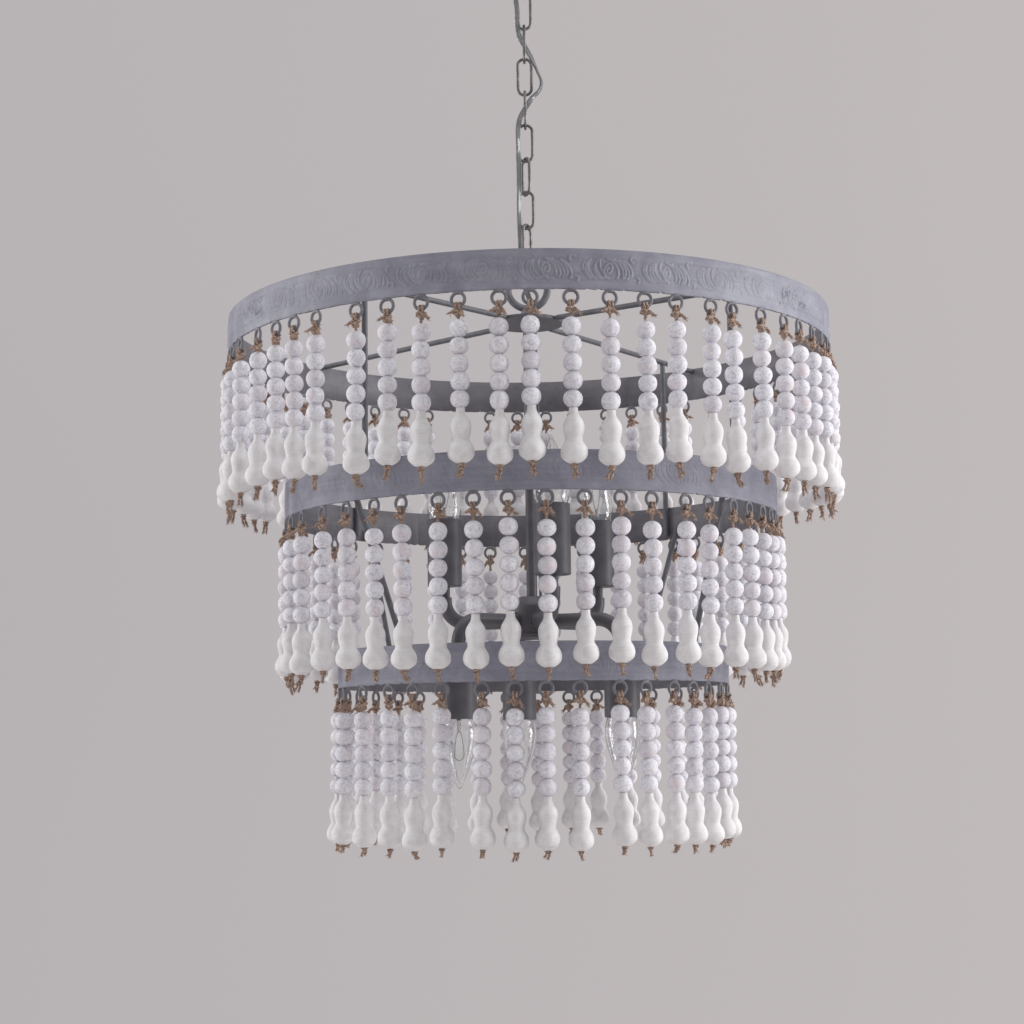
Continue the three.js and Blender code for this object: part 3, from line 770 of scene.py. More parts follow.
def smooth_path(points, steps):
    """Places along a centripetal Catmull-Rom curve through the points."""
    through = [Vector(p) for p in points]
    through = [2 * through[0] - through[1]] + through + [2 * through[-1] - through[-2]]
    places = []
    for a, b, c, d in zip(through, through[1:], through[2:], through[3:]):
        t1 = (b - a).length ** 0.5
        t2 = t1 + (c - b).length ** 0.5
        t3 = t2 + (d - c).length ** 0.5
        for k in range(steps):
            t = t1 + (t2 - t1) * k / steps
            first, second = a.lerp(b, t / t1), b.lerp(c, (t - t1) / (t2 - t1))
            third = c.lerp(d, (t - t2) / (t3 - t2))
            left = first.lerp(second, t / t2)
            right = second.lerp(third, (t - t1) / (t3 - t1))
            places.append(left.lerp(right, (t - t1) / (t2 - t1)))
    places.append(through[-2])
    return places


def smooth_outline(points, steps):
    """A lathe outline made smooth through its points."""
    places = smooth_path([(r, 0.0, z) for r, z in points], steps)
    return [(max(p.x, 0.0), p.z) for p in places]


def rod(start, end, radius, sides=16):
    """A round rod with its cut ends broken."""
    along = (end - start).normalized() * (radius / 5)
    path = [start, start + along, start.lerp(end, 0.5), end - along, end]
    return sweep(path, round_section(radius, sides), scales=(0.8, 1, 1, 1, 0.8))


def blob(centre, size, sides=10, rows=6):
    """A round lump of weld."""
    outline = [(math.cos(a), math.sin(a)) for a in np.linspace(-math.pi / 2, math.pi / 2, rows + 1)]
    outline = [(0.0 if r < 1e-6 else r, z) for r, z in outline]
    place = Matrix.Translation(centre) @ Matrix.Diagonal((*size, 1))
    corners, faces = lathe(outline, sides)
    return [place @ Vector(c) for c in corners], faces


def point_base(name, places, **attributes):
    """A mesh of loose points, each with named values, for a node tree to build on."""
    mesh = bpy.data.meshes.new(name)
    mesh.from_pydata([tuple(p) for p in places], [], [])
    for key, values in attributes.items():
        if isinstance(values[0], (int, float)):
            mesh.attributes.new(key, "FLOAT", "POINT").data.foreach_set("value", values)
        else:
            flat = [x for v in values for x in v]
            mesh.attributes.new(key, "FLOAT_VECTOR", "POINT").data.foreach_set("vector", flat)
    return mesh


def new_tree(name, sockets):
    """A geometry node tree with its inputs, and the sockets that carry them."""
    tree = bpy.data.node_groups.new(name, "GeometryNodeTree")
    tree.interface.new_socket(name="Geometry", in_out="INPUT", socket_type="NodeSocketGeometry")
    tree.interface.new_socket(name="Geometry", in_out="OUTPUT", socket_type="NodeSocketGeometry")
    for key, kind in sockets.items():
        tree.interface.new_socket(name=key, in_out="INPUT", socket_type="NodeSocket" + kind)
    return tree, add_node(tree, "NodeGroupInput").outputs


def grow(name, base, tree, values):
    """Runs a node tree on a base mesh and returns the plain mesh that it gives."""
    helper = new_piece(name + "_base", base)
    modifier = helper.modifiers.new("Grow", "NODES")
    modifier.node_group = tree
    for item in tree.interface.items_tree:
        if item.item_type == "SOCKET" and item.in_out == "INPUT" and item.name in values:
            modifier[item.identifier] = values[item.name]
    bpy.context.view_layer.update()
    evaluated = helper.evaluated_get(bpy.context.evaluated_depsgraph_get())
    mesh = bpy.data.meshes.new_from_object(evaluated)
    mesh.name = name
    bpy.data.objects.remove(helper)
    bpy.data.meshes.remove(base)
    return mesh


def wire_link_tree():
    """A node tree that bends a wire link, long or round, at every point of its base."""
    tree, given = new_tree("Wire link", {
        "Length": "Float", "Width": "Float", "Wire": "Float", "Path Steps": "Int",
        "Wire Sides": "Int", "Finish": "Material"})
    span = add_node(tree, "ShaderNodeMath", {0: given["Width"], 1: given["Wire"]}, operation="SUBTRACT")
    radius = add_node(tree, "ShaderNodeMath", {0: span, 1: 0.5}, operation="MULTIPLY")
    path = add_node(tree, "GeometryNodeCurvePrimitiveCircle", {
        "Resolution": given["Path Steps"], "Radius": radius})
    upright = add_node(tree, "GeometryNodeTransform", {
        "Geometry": path, "Rotation": (math.pi / 2, 0, 0)})
    extra = add_node(tree, "ShaderNodeMath", {0: given["Length"], 1: given["Width"]}, operation="SUBTRACT")
    pull = add_node(tree, "ShaderNodeMath", {0: extra, 1: 0.5}, operation="MULTIPLY")
    place = add_node(tree, "GeometryNodeInputPosition")
    parts = add_node(tree, "ShaderNodeSeparateXYZ", {"Vector": place})
    # Rounded down, so that a place at the link's middle never counts as one above it
    clean = add_node(tree, "ShaderNodeMath", {0: parts.outputs["Z"], 1: 1e-5}, operation="SNAP")
    half = add_node(tree, "ShaderNodeMath", {0: clean}, operation="SIGN")
    shift = add_node(tree, "ShaderNodeMath", {0: half, 1: pull}, operation="MULTIPLY")
    offset = add_node(tree, "ShaderNodeCombineXYZ", {"Z": shift})
    stretched = add_node(tree, "GeometryNodeSetPosition", {"Geometry": upright, "Offset": offset})
    thick = add_node(tree, "ShaderNodeMath", {0: given["Wire"], 1: 0.5}, operation="MULTIPLY")
    section = add_node(tree, "GeometryNodeCurvePrimitiveCircle", {
        "Resolution": given["Wire Sides"], "Radius": thick})
    wire = add_node(tree, "GeometryNodeCurveToMesh", {"Curve": stretched, "Profile Curve": section})
    smooth = add_node(tree, "GeometryNodeSetShadeSmooth", {0: wire})
    turn = add_node(tree, "GeometryNodeInputNamedAttribute", {"Name": "turn"}, data_type="FLOAT")
    angle = add_node(tree, "FunctionNodeAxisAngleToRotation", {"Axis": (0, 0, 1), "Angle": turn})
    links = add_node(tree, "GeometryNodeInstanceOnPoints", {
        "Points": given["Geometry"], "Instance": smooth, "Rotation": angle})
    solid = add_node(tree, "GeometryNodeRealizeInstances", {"Geometry": links})
    finished = add_node(tree, "GeometryNodeSetMaterial", {
        "Geometry": solid, "Material": given["Finish"]})
    add_node(tree, "NodeGroupOutput", {"Geometry": finished})
    return tree


# How many different shapes are made of each part of a string
SHAPES_OF_A_KIND = 4
# For each part: how far it may stand aside, its lean and its turn in radians, and its change of size
JITTERS = {
    "Beads": (0.35 * MM, 0.06, math.pi, 0.025),
    "Gourds": (0.0, 0.01, math.pi, 0.015),
    "Ties": (0.0, 0.0, 0.3, 0.0),
    "Tails": (0.0, 0.08, math.pi, 0.08),
}


def hang_branch(tree, given, part, copies, first, lead, finish):
    """Adds the nodes that hang one part on every string, lead pitches below the first place."""
    shapes = add_node(tree, "GeometryNodeCollectionInfo", {
        "Collection": given[part], "Separate Children": True, "Reset Children": True})
    copied = add_node(tree, "GeometryNodeDuplicateElements", {
        "Geometry": given["Geometry"], "Amount": copies}, domain="POINT")
    hang = add_node(tree, "GeometryNodeInputNamedAttribute", {"Name": "hang"}, data_type="FLOAT_VECTOR")
    facing, slack, snug, trim = [
        add_node(tree, "GeometryNodeInputNamedAttribute", {"Name": key}, data_type="FLOAT")
        for key in ("facing", "slack", "snug", "trim")]
    pitch = add_node(tree, "ShaderNodeMath", {0: given["Bead Pitch"], 1: snug}, operation="MULTIPLY")
    number = add_node(tree, "ShaderNodeMath", {0: copied.outputs["Duplicate Index"], 1: lead})
    run = add_node(tree, "ShaderNodeMath", {
        0: number, 1: pitch, 2: first}, operation="MULTIPLY_ADD")
    steps = add_node(tree, "ShaderNodeMath", {
        0: slack, 1: 1.0 if lead else 0.0, 2: run}, operation="MULTIPLY_ADD")
    down = add_node(tree, "ShaderNodeVectorMath", {
        0: hang, "Scale": steps}, operation="SCALE")
    wobble, tilt, spin, size = JITTERS[part]
    drift = add_node(tree, "FunctionNodeRandomValue", {
        "Min": (-wobble, -wobble, 0), "Max": (wobble, wobble, 0), "Seed": given["Seed"]},
        data_type="FLOAT_VECTOR")
    offset = add_node(tree, "ShaderNodeVectorMath", {0: down, 1: drift}, operation="ADD")
    placed = add_node(tree, "GeometryNodeSetPosition", {
        "Geometry": copied.outputs["Geometry"], "Offset": offset})
    up = add_node(tree, "ShaderNodeVectorMath", {0: hang, "Scale": -1.0}, operation="SCALE")
    lean = add_node(tree, "FunctionNodeAlignRotationToVector", {"Vector": up}, axis="Z")
    outward = add_node(tree, "ShaderNodeCombineXYZ", {"Z": facing})
    loose = add_node(tree, "FunctionNodeRandomValue", {
        "Min": (-tilt, -tilt, -spin), "Max": (tilt, tilt, spin), "Seed": given["Seed"]},
        data_type="FLOAT_VECTOR")
    turned = add_node(tree, "ShaderNodeVectorMath", {0: outward, 1: loose}, operation="ADD")
    own = add_node(tree, "FunctionNodeEulerToRotation", {"Euler": turned})
    both = add_node(tree, "FunctionNodeRotateRotation", {
        "Rotation": own, "Rotate By": lean}, rotation_space="GLOBAL")
    grown = add_node(tree, "FunctionNodeRandomValue", {
        "Min": (1 - size, 1 - size, 1 - size), "Max": (1 + size, 1 + size, 1 + size),
        "Seed": given["Seed"]}, data_type="FLOAT_VECTOR")
    if part == "Tails":
        lengths = add_node(tree, "ShaderNodeCombineXYZ", {"X": 1.0, "Y": 1.0, "Z": trim})
        grown = add_node(tree, "ShaderNodeVectorMath", {
            0: grown, 1: lengths}, operation="MULTIPLY")
    choice = add_node(tree, "FunctionNodeRandomValue", {
        "Min": 0, "Max": 2 * SHAPES_OF_A_KIND - 1, "Seed": given["Seed"]}, data_type="INT")
    hung = add_node(tree, "GeometryNodeInstanceOnPoints", {
        "Points": placed, "Instance": shapes, "Pick Instance": True,
        "Instance Index": choice, "Rotation": both, "Scale": grown})
    lot = add_node(tree, "FunctionNodeRandomValue", {
        "Min": 0.0, "Max": 1.0, "Seed": given["Seed"]}, data_type="FLOAT")
    marked = add_node(tree, "GeometryNodeStoreNamedAttribute", {
        "Geometry": hung, "Name": "lot", "Value": lot},
        data_type="FLOAT", domain="INSTANCE")
    solid = add_node(tree, "GeometryNodeRealizeInstances", {"Geometry": marked})
    return result(add_node(tree, "GeometryNodeSetMaterial", {"Geometry": solid, "Material": finish}))


def string_tree():
    """A node tree that hangs a whole bead string under every point: beads, drop, tie and tail."""
    tree, given = new_tree("Bead string", {
        "Beads": "Collection", "Gourds": "Collection", "Ties": "Collection", "Tails": "Collection",
        "Bead Count": "Int", "Bead Drop": "Float", "Bead Pitch": "Float", "Tail Drop": "Float",
        "Seed": "Int", "Bead Finish": "Material", "Gourd Finish": "Material",
        "Jute Finish": "Material"})
    parts = [
        hang_branch(tree, given, "Beads", given["Bead Count"], given["Bead Drop"], 0.5,
                    given["Bead Finish"]),
        hang_branch(tree, given, "Gourds", 1, given["Bead Drop"], given["Bead Count"],
                    given["Gourd Finish"]),
        hang_branch(tree, given, "Ties", 1, 0.0, 0, given["Jute Finish"]),
        hang_branch(tree, given, "Tails", 1, given["Tail Drop"], given["Bead Count"],
                    given["Jute Finish"]),
    ]
    whole = add_node(tree, "GeometryNodeJoinGeometry")
    for part in parts:
        tree.links.new(part, whole.inputs["Geometry"])
    add_node(tree, "NodeGroupOutput", {"Geometry": whole})
    return tree


class CHANDELIER_OT_stage(bpy.types.Operator):
    """Places the camera, the soft lights, the background and the floor."""

    bl_idname = "chandelier.stage"
    bl_label = "Camera and light"

    def execute(self, context):
        stage = context.scene.chandelier.stage
        camera = bpy.data.objects.new("camera", bpy.data.cameras.new("camera"))
        camera.data.lens = stage.camera_lens
        camera.data.clip_start = 0.02
        camera.matrix_world = (
            Matrix.Translation(stage.camera_place)
            @ Matrix.Rotation(math.pi / 2 + stage.camera_pitch, 4, "X")
            @ Matrix.Rotation(stage.camera_roll, 4, "Z"))
        context.scene.collection.objects.link(camera)
        context.scene.camera = camera
        context.scene.view_settings.view_transform = "Standard"
        self.add_world(context.scene, stage.ambient)
        for name, place, wide, tall, power in LIGHTS:
            light = bpy.data.objects.new(name, bpy.data.lights.new(name, "AREA"))
            light.data.shape = "RECTANGLE"
            light.data.size = wide
            light.data.size_y = tall
            light.data.energy = power
            light.location = place
            light.rotation_euler = (LIGHT_AIM - Vector(place)).to_track_quat("-Z", "Y").to_euler()
            context.scene.collection.objects.link(light)
        self.add_floor()
        return {"FINISHED"}

    def add_world(self, scene, ambient):
        """An even light for the object, and the wall's colour for what the camera sees behind it, with
        painted shade that darkens it to the left and mottles it softly.
        """
        world = bpy.data.worlds.new("Studio wall")
        world.use_nodes = True
        tree = world.node_tree
        tree.nodes.clear()
        scene.world = world
        ray = add_node(tree, "ShaderNodeLightPath")
        seen = add_node(tree, "ShaderNodeMath", {
            0: ray.outputs["Is Camera Ray"], 1: ray.outputs["Is Glossy Ray"]}, operation="MAXIMUM")
        through = add_node(tree, "ShaderNodeMath", {
            0: seen, 1: ray.outputs["Is Transmission Ray"]}, operation="MAXIMUM")
        even = add_node(tree, "ShaderNodeBackground", {"Color": linear("#ffffff"), "Strength": ambient})
        # Painted shade on the wall: darker to the left, softly mottled
        toward = add_node(tree, "ShaderNodeTexCoord").outputs["Generated"]
        sides = add_node(tree, "ShaderNodeSeparateXYZ", {"Vector": toward})
        across = add_node(tree, "ShaderNodeMapRange", {
            "Value": sides.outputs["X"], "From Min": -WALL_REACH, "From Max": WALL_REACH})
        drift = add_node(tree, "ShaderNodeTexNoise", {"Vector": toward, "Scale": 2.2, "Detail": 1.0})
        blend = add_node(tree, "ShaderNodeMix", {"Factor": 0.3, "A": across, "B": drift})
        wall = add_node(tree, "ShaderNodeValToRGB", {"Fac": blend})
        set_ramp(wall, *WALL_COLOURS)
        plain = add_node(tree, "ShaderNodeBackground", {"Color": wall, "Strength": 1.0})
        both = add_node(tree, "ShaderNodeMixShader", {0: through, 1: even, 2: plain})
        add_node(tree, "ShaderNodeOutputWorld", {"Surface": both})

    def add_floor(self):
        """A plain pale floor, a room's height below the ceiling."""
        mesh = bpy.data.meshes.new("floor")
        sides = ((-1, -1), (1, -1), (1, 1), (-1, 1))
        corners = [(x * FLOOR_REACH, y * FLOOR_REACH, FLOOR_HEIGHT) for x, y in sides]
        mesh.from_pydata(corners, [], [(0, 1, 2, 3)])
        mesh.materials.append(end_finish(start_finish("Pale floor")[0], linear(FLOOR_COLOUR),
                                         roughness=0.9))
        new_piece("floor", mesh)


class CHANDELIER_OT_cord(bpy.types.Operator):
    """Makes the clear twin cord, one piece across each joint of the chain."""

    bl_idname = "chandelier.cord"
    bl_label = "Power cord"

    def execute(self, context):
        sizes = context.scene.chandelier.chain
        path = smooth_path(CORD_ROUTE, 5)
        heights, turns = zip(*CORD_TURNS)
        wide = []
        for place in path:
            angle = math.radians(float(np.interp(-place.z, [-h for h in heights], turns)))
            wide.append(Vector((math.cos(angle), math.sin(angle), 0)))
        cuts = [middle(f"chain_link_{i}").z for i in range(1, 8)] + [middle("connecting_link").z]
        edges = [0] + [min(range(len(path)), key=lambda k, z=z: abs(path[k].z - z)) for z in cuts]
        edges.append(len(path) - 1)
        for k, (above, below) in enumerate(zip(BODY_CHAIN, BODY_CHAIN[1:])):
            start, end = edges[k], edges[k + 1] + 1
            stretch, flats = path[start:end], wide[start:end]
            shape = Shape()
            caps = (k == 0, k == len(BODY_CHAIN) - 2)
            shape.add(sweep(stretch, self.jacket(sizes), wide=flats, caps=caps))
            gap = (sizes.cord_width - sizes.cord_thickness) / 2
            for side in (-1, 1):
                centres = [p + self.flat(stretch, i, flats[i]) * gap * side for i, p in enumerate(stretch)]
                shape.add(sweep(centres, round_section(sizes.conductor_diameter / 2, 8), wide=flats), 1)
            name = f"cord_{k + 1}"
            piece = new_piece(name, shape.mesh(name, ["pvc", "tinned"]))
            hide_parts("power_cord")
            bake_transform(piece)
        return {"FINISHED"}

    def jacket(self, sizes):
        """The twin cord's section: two round lobes with a shallow groove between them."""
        lobe = sizes.cord_thickness / 2
        gap = sizes.cord_width / 2 - lobe
        waist = 0.95 * lobe
        right = [(gap + lobe * math.cos(a), lobe * math.sin(a)) for a in np.linspace(-1.9, 1.9, 9)]
        left = [(-x, -y) for x, y in right]
        return right + [(0.0, waist)] + left + [(0.0, -waist)]

    def flat(self, path, i, wide):
        """The cord's wide direction at a place, square to its path."""
        ahead = (path[min(i + 1, len(path) - 1)] - path[max(i - 1, 0)]).normalized()
        return (wide - ahead * wide.dot(ahead)).normalized()


class CHANDELIER_OT_ceiling_fitting(bpy.types.Operator):
    """Makes the canopy, its screw collar and loop, and finishes the bracket."""

    bl_idname = "chandelier.ceiling_fitting"
    bl_label = "Ceiling fitting"

    def execute(self, context):
        sizes = context.scene.chandelier.frame
        frame["nodes"]["ceiling_bracket"].material_slots[0].material = finish_named("zinc")
        self.add_canopy(sizes)
        self.add_loop()
        return {"FINISHED"}

    def add_canopy(self, sizes):
        """A shallow bell pierced for the shank and the cord, with a grommet for the cord."""
        wall = sizes.canopy_wall
        depth = -low("ceiling_canopy")
        flat = 0.35 * sizes.canopy_radius
        shank_hole = 5.3 * MM
        cord_hole = 3.05 * MM
        cord_side = CORD_ROUTE[0][0]
        reach = sizes.canopy_radius - flat
        turns = np.linspace(0, math.pi / 2, 15)
        outside = [(flat + reach * math.sin(a), -depth * math.cos(a)) for a in turns]
        inside = [(flat + (reach - wall) * math.sin(a), -(depth - wall) * math.cos(a))
                  for a in reversed(turns)]
        outline = [(shank_hole, -depth)] + outside + inside + [(shank_hole, wall - depth)]
        shape = Shape().add(lathe(outline, 72, closed=True))
        piece = new_piece("canopy_bell", shape.mesh("canopy_bell", ["ring"]))
        hole = Shape().add(sweep(
            [(cord_side, 0, -depth - 4 * MM), (cord_side, 0, 4 * MM - depth)],
            round_section(cord_hole, 24)))
        cutter = new_piece("cutter", hole.mesh("cutter", ["ring"]))
        cut = piece.modifiers.new("Cord hole", "BOOLEAN")
        cut.object = cutter
        cut.solver = "EXACT"
        bpy.context.view_layer.update()
        evaluated = piece.evaluated_get(bpy.context.evaluated_depsgraph_get())
        pierced = bpy.data.meshes.new_from_object(evaluated)
        piece.modifiers.clear()
        piece.data = pierced
        bpy.data.objects.remove(cutter)
        settle(piece, "ceiling", "paint", "ceiling_canopy")
        inner = cord_hole - 0.1 * MM
        lip = smooth_outline([(inner, -1.2 * MM), (4.2 * MM, -1.0 * MM), (4.4 * MM, 0.0)], 3)
        grommet = Shape().add(lathe(lip + [(inner, 0.0)], 24, closed=True),
                              matrix=Matrix.Translation((cord_side, 0, -depth - SEAT_GAP / 3)))
        add_piece("canopy_grommet", grommet, ["holder"], "ceiling", "holder_plastic")

    def add_loop(self):
        """A threaded shank, a knurled screw collar and a ring below it."""
        top = high("canopy_loop")
        # The collar hangs just under the canopy, and the ring is welded to it
        collar_low = -31.3 * MM
        collar_high = collar_low + 5 * MM
        pitch, shank = 1.25 * MM, 5 * MM
        core = 0.9 * shank
        outline = [(0.0, collar_high - WELD_DEPTH), (core, collar_high - WELD_DEPTH)]
        for k in range(int((top - collar_high) / pitch)):
            at = collar_high + k * pitch
            outline += [(core, at), (shank, at + pitch / 2)]
        outline += [(core, top - TINY), (0.0, top - TINY)]
        shape = Shape().add(lathe(outline, 24))
        wide = 9 * MM
        collar = [(0.0, collar_low), (7.6 * MM, collar_low), (wide, collar_low + MM),
                  (wide, collar_high - MM), (8.2 * MM, collar_high), (0.0, collar_high)]
        shape.add(lathe(collar, 48))
        ridges = 36
        for k in range(ridges):
            place = around(wide - 0.15 * MM, 360 / ridges * k, (collar_low + collar_high) / 2)
            shape.add(blob(place, (0.35 * MM, 0.35 * MM, 1.5 * MM), 6, 4))
        ring_radius, wire = 11 * MM, 2 * MM
        centre = collar_low + WELD_DEPTH - ring_radius - wire
        loop = [(0, ring_radius * math.cos(a), centre + ring_radius * math.sin(a))
                for a in np.linspace(0, FULL_TURN, 49)[:-1]]
        shape.add(sweep(loop, round_section(wire, 14), closed=True))
        add_piece("screw_loop", shape, ["zinc"], "ceiling", "steel", "canopy_loop")


class CHANDELIER_OT_chain(bpy.types.Operator):
    """Makes the chain links and the connecting link from one node tree."""

    bl_idname = "chandelier.chain"
    bl_label = "Chain"

    def execute(self, context):
        sizes = context.scene.chandelier.chain
        tree = wire_link_tree()
        links = [(f"chain_link_{i + 1}", turn, sizes.link_length, sizes.link_width, sizes.link_wire)
                 for i, turn in enumerate(LINK_TURNS)]
        links.append(("connecting_link", CONNECTOR_TURN, sizes.connector_length,
                      sizes.connector_width, sizes.connector_wire))
        for node, turn, length, width, wire in links:
            base = point_base(node, [(0, 0, middle(node).z)], turn=[math.radians(turn)])
            mesh = grow(node + "_wire", base, tree, {
                "Length": length, "Width": width, "Wire": wire, "Path Steps": 48, "Wire Sides": 14,
                "Finish": finish_named("zinc")})
            settle(new_piece(node + "_wire", mesh), node, "steel", node)
        return {"FINISHED"}


class CHANDELIER_OT_frame(bpy.types.Operator):
    """Makes the hanging ring and every welded rod, and finishes the hub plate."""

    bl_idname = "chandelier.frame"
    bl_label = "Frame rods"

    def execute(self, context):
        sizes = context.scene.chandelier.frame
        hoops = context.scene.chandelier.hoops
        frame["nodes"]["hub_plate"].material_slots[0].material = finish_named("rod")
        self.add_ring(sizes)
        radius = sizes.rod_diameter / 2
        thickness = hoops.band_thickness
        inside = hoops.radii[1] - thickness
        upright_circle = inside - radius
        spoke_high, spoke_low = high("spoke_1") - radius, low("spoke_1") + radius
        cross_weld_height = low("upright_1") + 22 * MM
        for i, azimuth in enumerate(SPOKE_AZIMUTHS):
            name = f"spoke_{i + 1}"
            start = around(sizes.hub_radius + SEAT_GAP, azimuth, spoke_high)
            end = around(hoops.radii[0] - thickness, azimuth, spoke_low)
            shape = Shape().add(rod(start, end, radius))
            shape.add(blob(end, (2.2 * MM, 2.2 * MM, 3.4 * MM)))
            shape.add(blob(start, (2.4 * MM, 3.4 * MM, 2 * MM)))
            add_piece(name + "_rod", shape, ["rod"], "fixture", "paint", name)

            name = f"upright_{i + 1}"
            foot = around(upright_circle, azimuth, low(name))
            head = around(upright_circle, azimuth, high(name))
            shape = Shape().add(rod(foot, head, radius))
            shape.add(blob(head, (3.2 * MM, 3.2 * MM, 1.5 * MM)))
            shape.add(blob(around(inside, azimuth, cross_weld_height), (3 * MM, 3 * MM, 2 * MM)))
            add_piece(name + "_rod", shape, ["rod"], "fixture", "paint", name)

            name = f"brace_{i + 1}"
            foot = around(hoops.radii[2] - thickness / 2, azimuth, low(name) + radius / 2)
            head = around(upright_circle, azimuth - BRACE_SKEW, high(name) - radius / 2)
            shape = Shape().add(rod(foot, head, radius))
            shape.add(blob(foot, (3 * MM, 3 * MM, 1.8 * MM)))
            add_piece(name + "_rod", shape, ["rod"], "fixture", "paint", name)
        return {"FINISHED"}

    def add_ring(self, sizes):
        """The round hanging ring on its knob, with the shank and nut under the hub plate."""
        hub_top, hub_low = high("hub_plate"), low("hub_plate")
        wire = sizes.ring_wire / 2
        radius = sizes.ring_diameter / 2 - wire
        centre = high("hanging_ring") - sizes.ring_diameter / 2
        ring = [(radius * math.cos(a), 0, centre + radius * math.sin(a))
                for a in np.linspace(0, FULL_TURN, 65)[:-1]]
        shape = Shape().add(sweep(ring, round_section(wire, 20), closed=True))
        foot = hub_top + SEAT_GAP
        ball = ((5.4, 0), (7.1, 2.6), (7.6, 5.6), (7.2, 8.6), (5.6, 11.8), (3, 14.4))
        knob = smooth_outline([(r * MM, foot + up * MM) for r, up in ball], 4)
        shape.add(lathe([(0.0, foot)] + knob + [(0.0, foot + 15.4 * MM)], 32))
        shank, end = 3.2 * MM, low("hanging_ring")
        shape.add(lathe([(0.0, end), (shank - 0.2 * MM, end), (shank, hub_low), (shank, foot + MM),
                         (0.0, foot + MM)], 20))
        add_piece("ring_and_knob", shape, ["ring"], "fixture", "paint", "hanging_ring")


# How far the scrolls reach above and below the strip's middle, and how strong each hoop's are
RELIEF_REACH = 12.5 * MM
RELIEF_SHARES = (1.0, 0.55, 0.5)


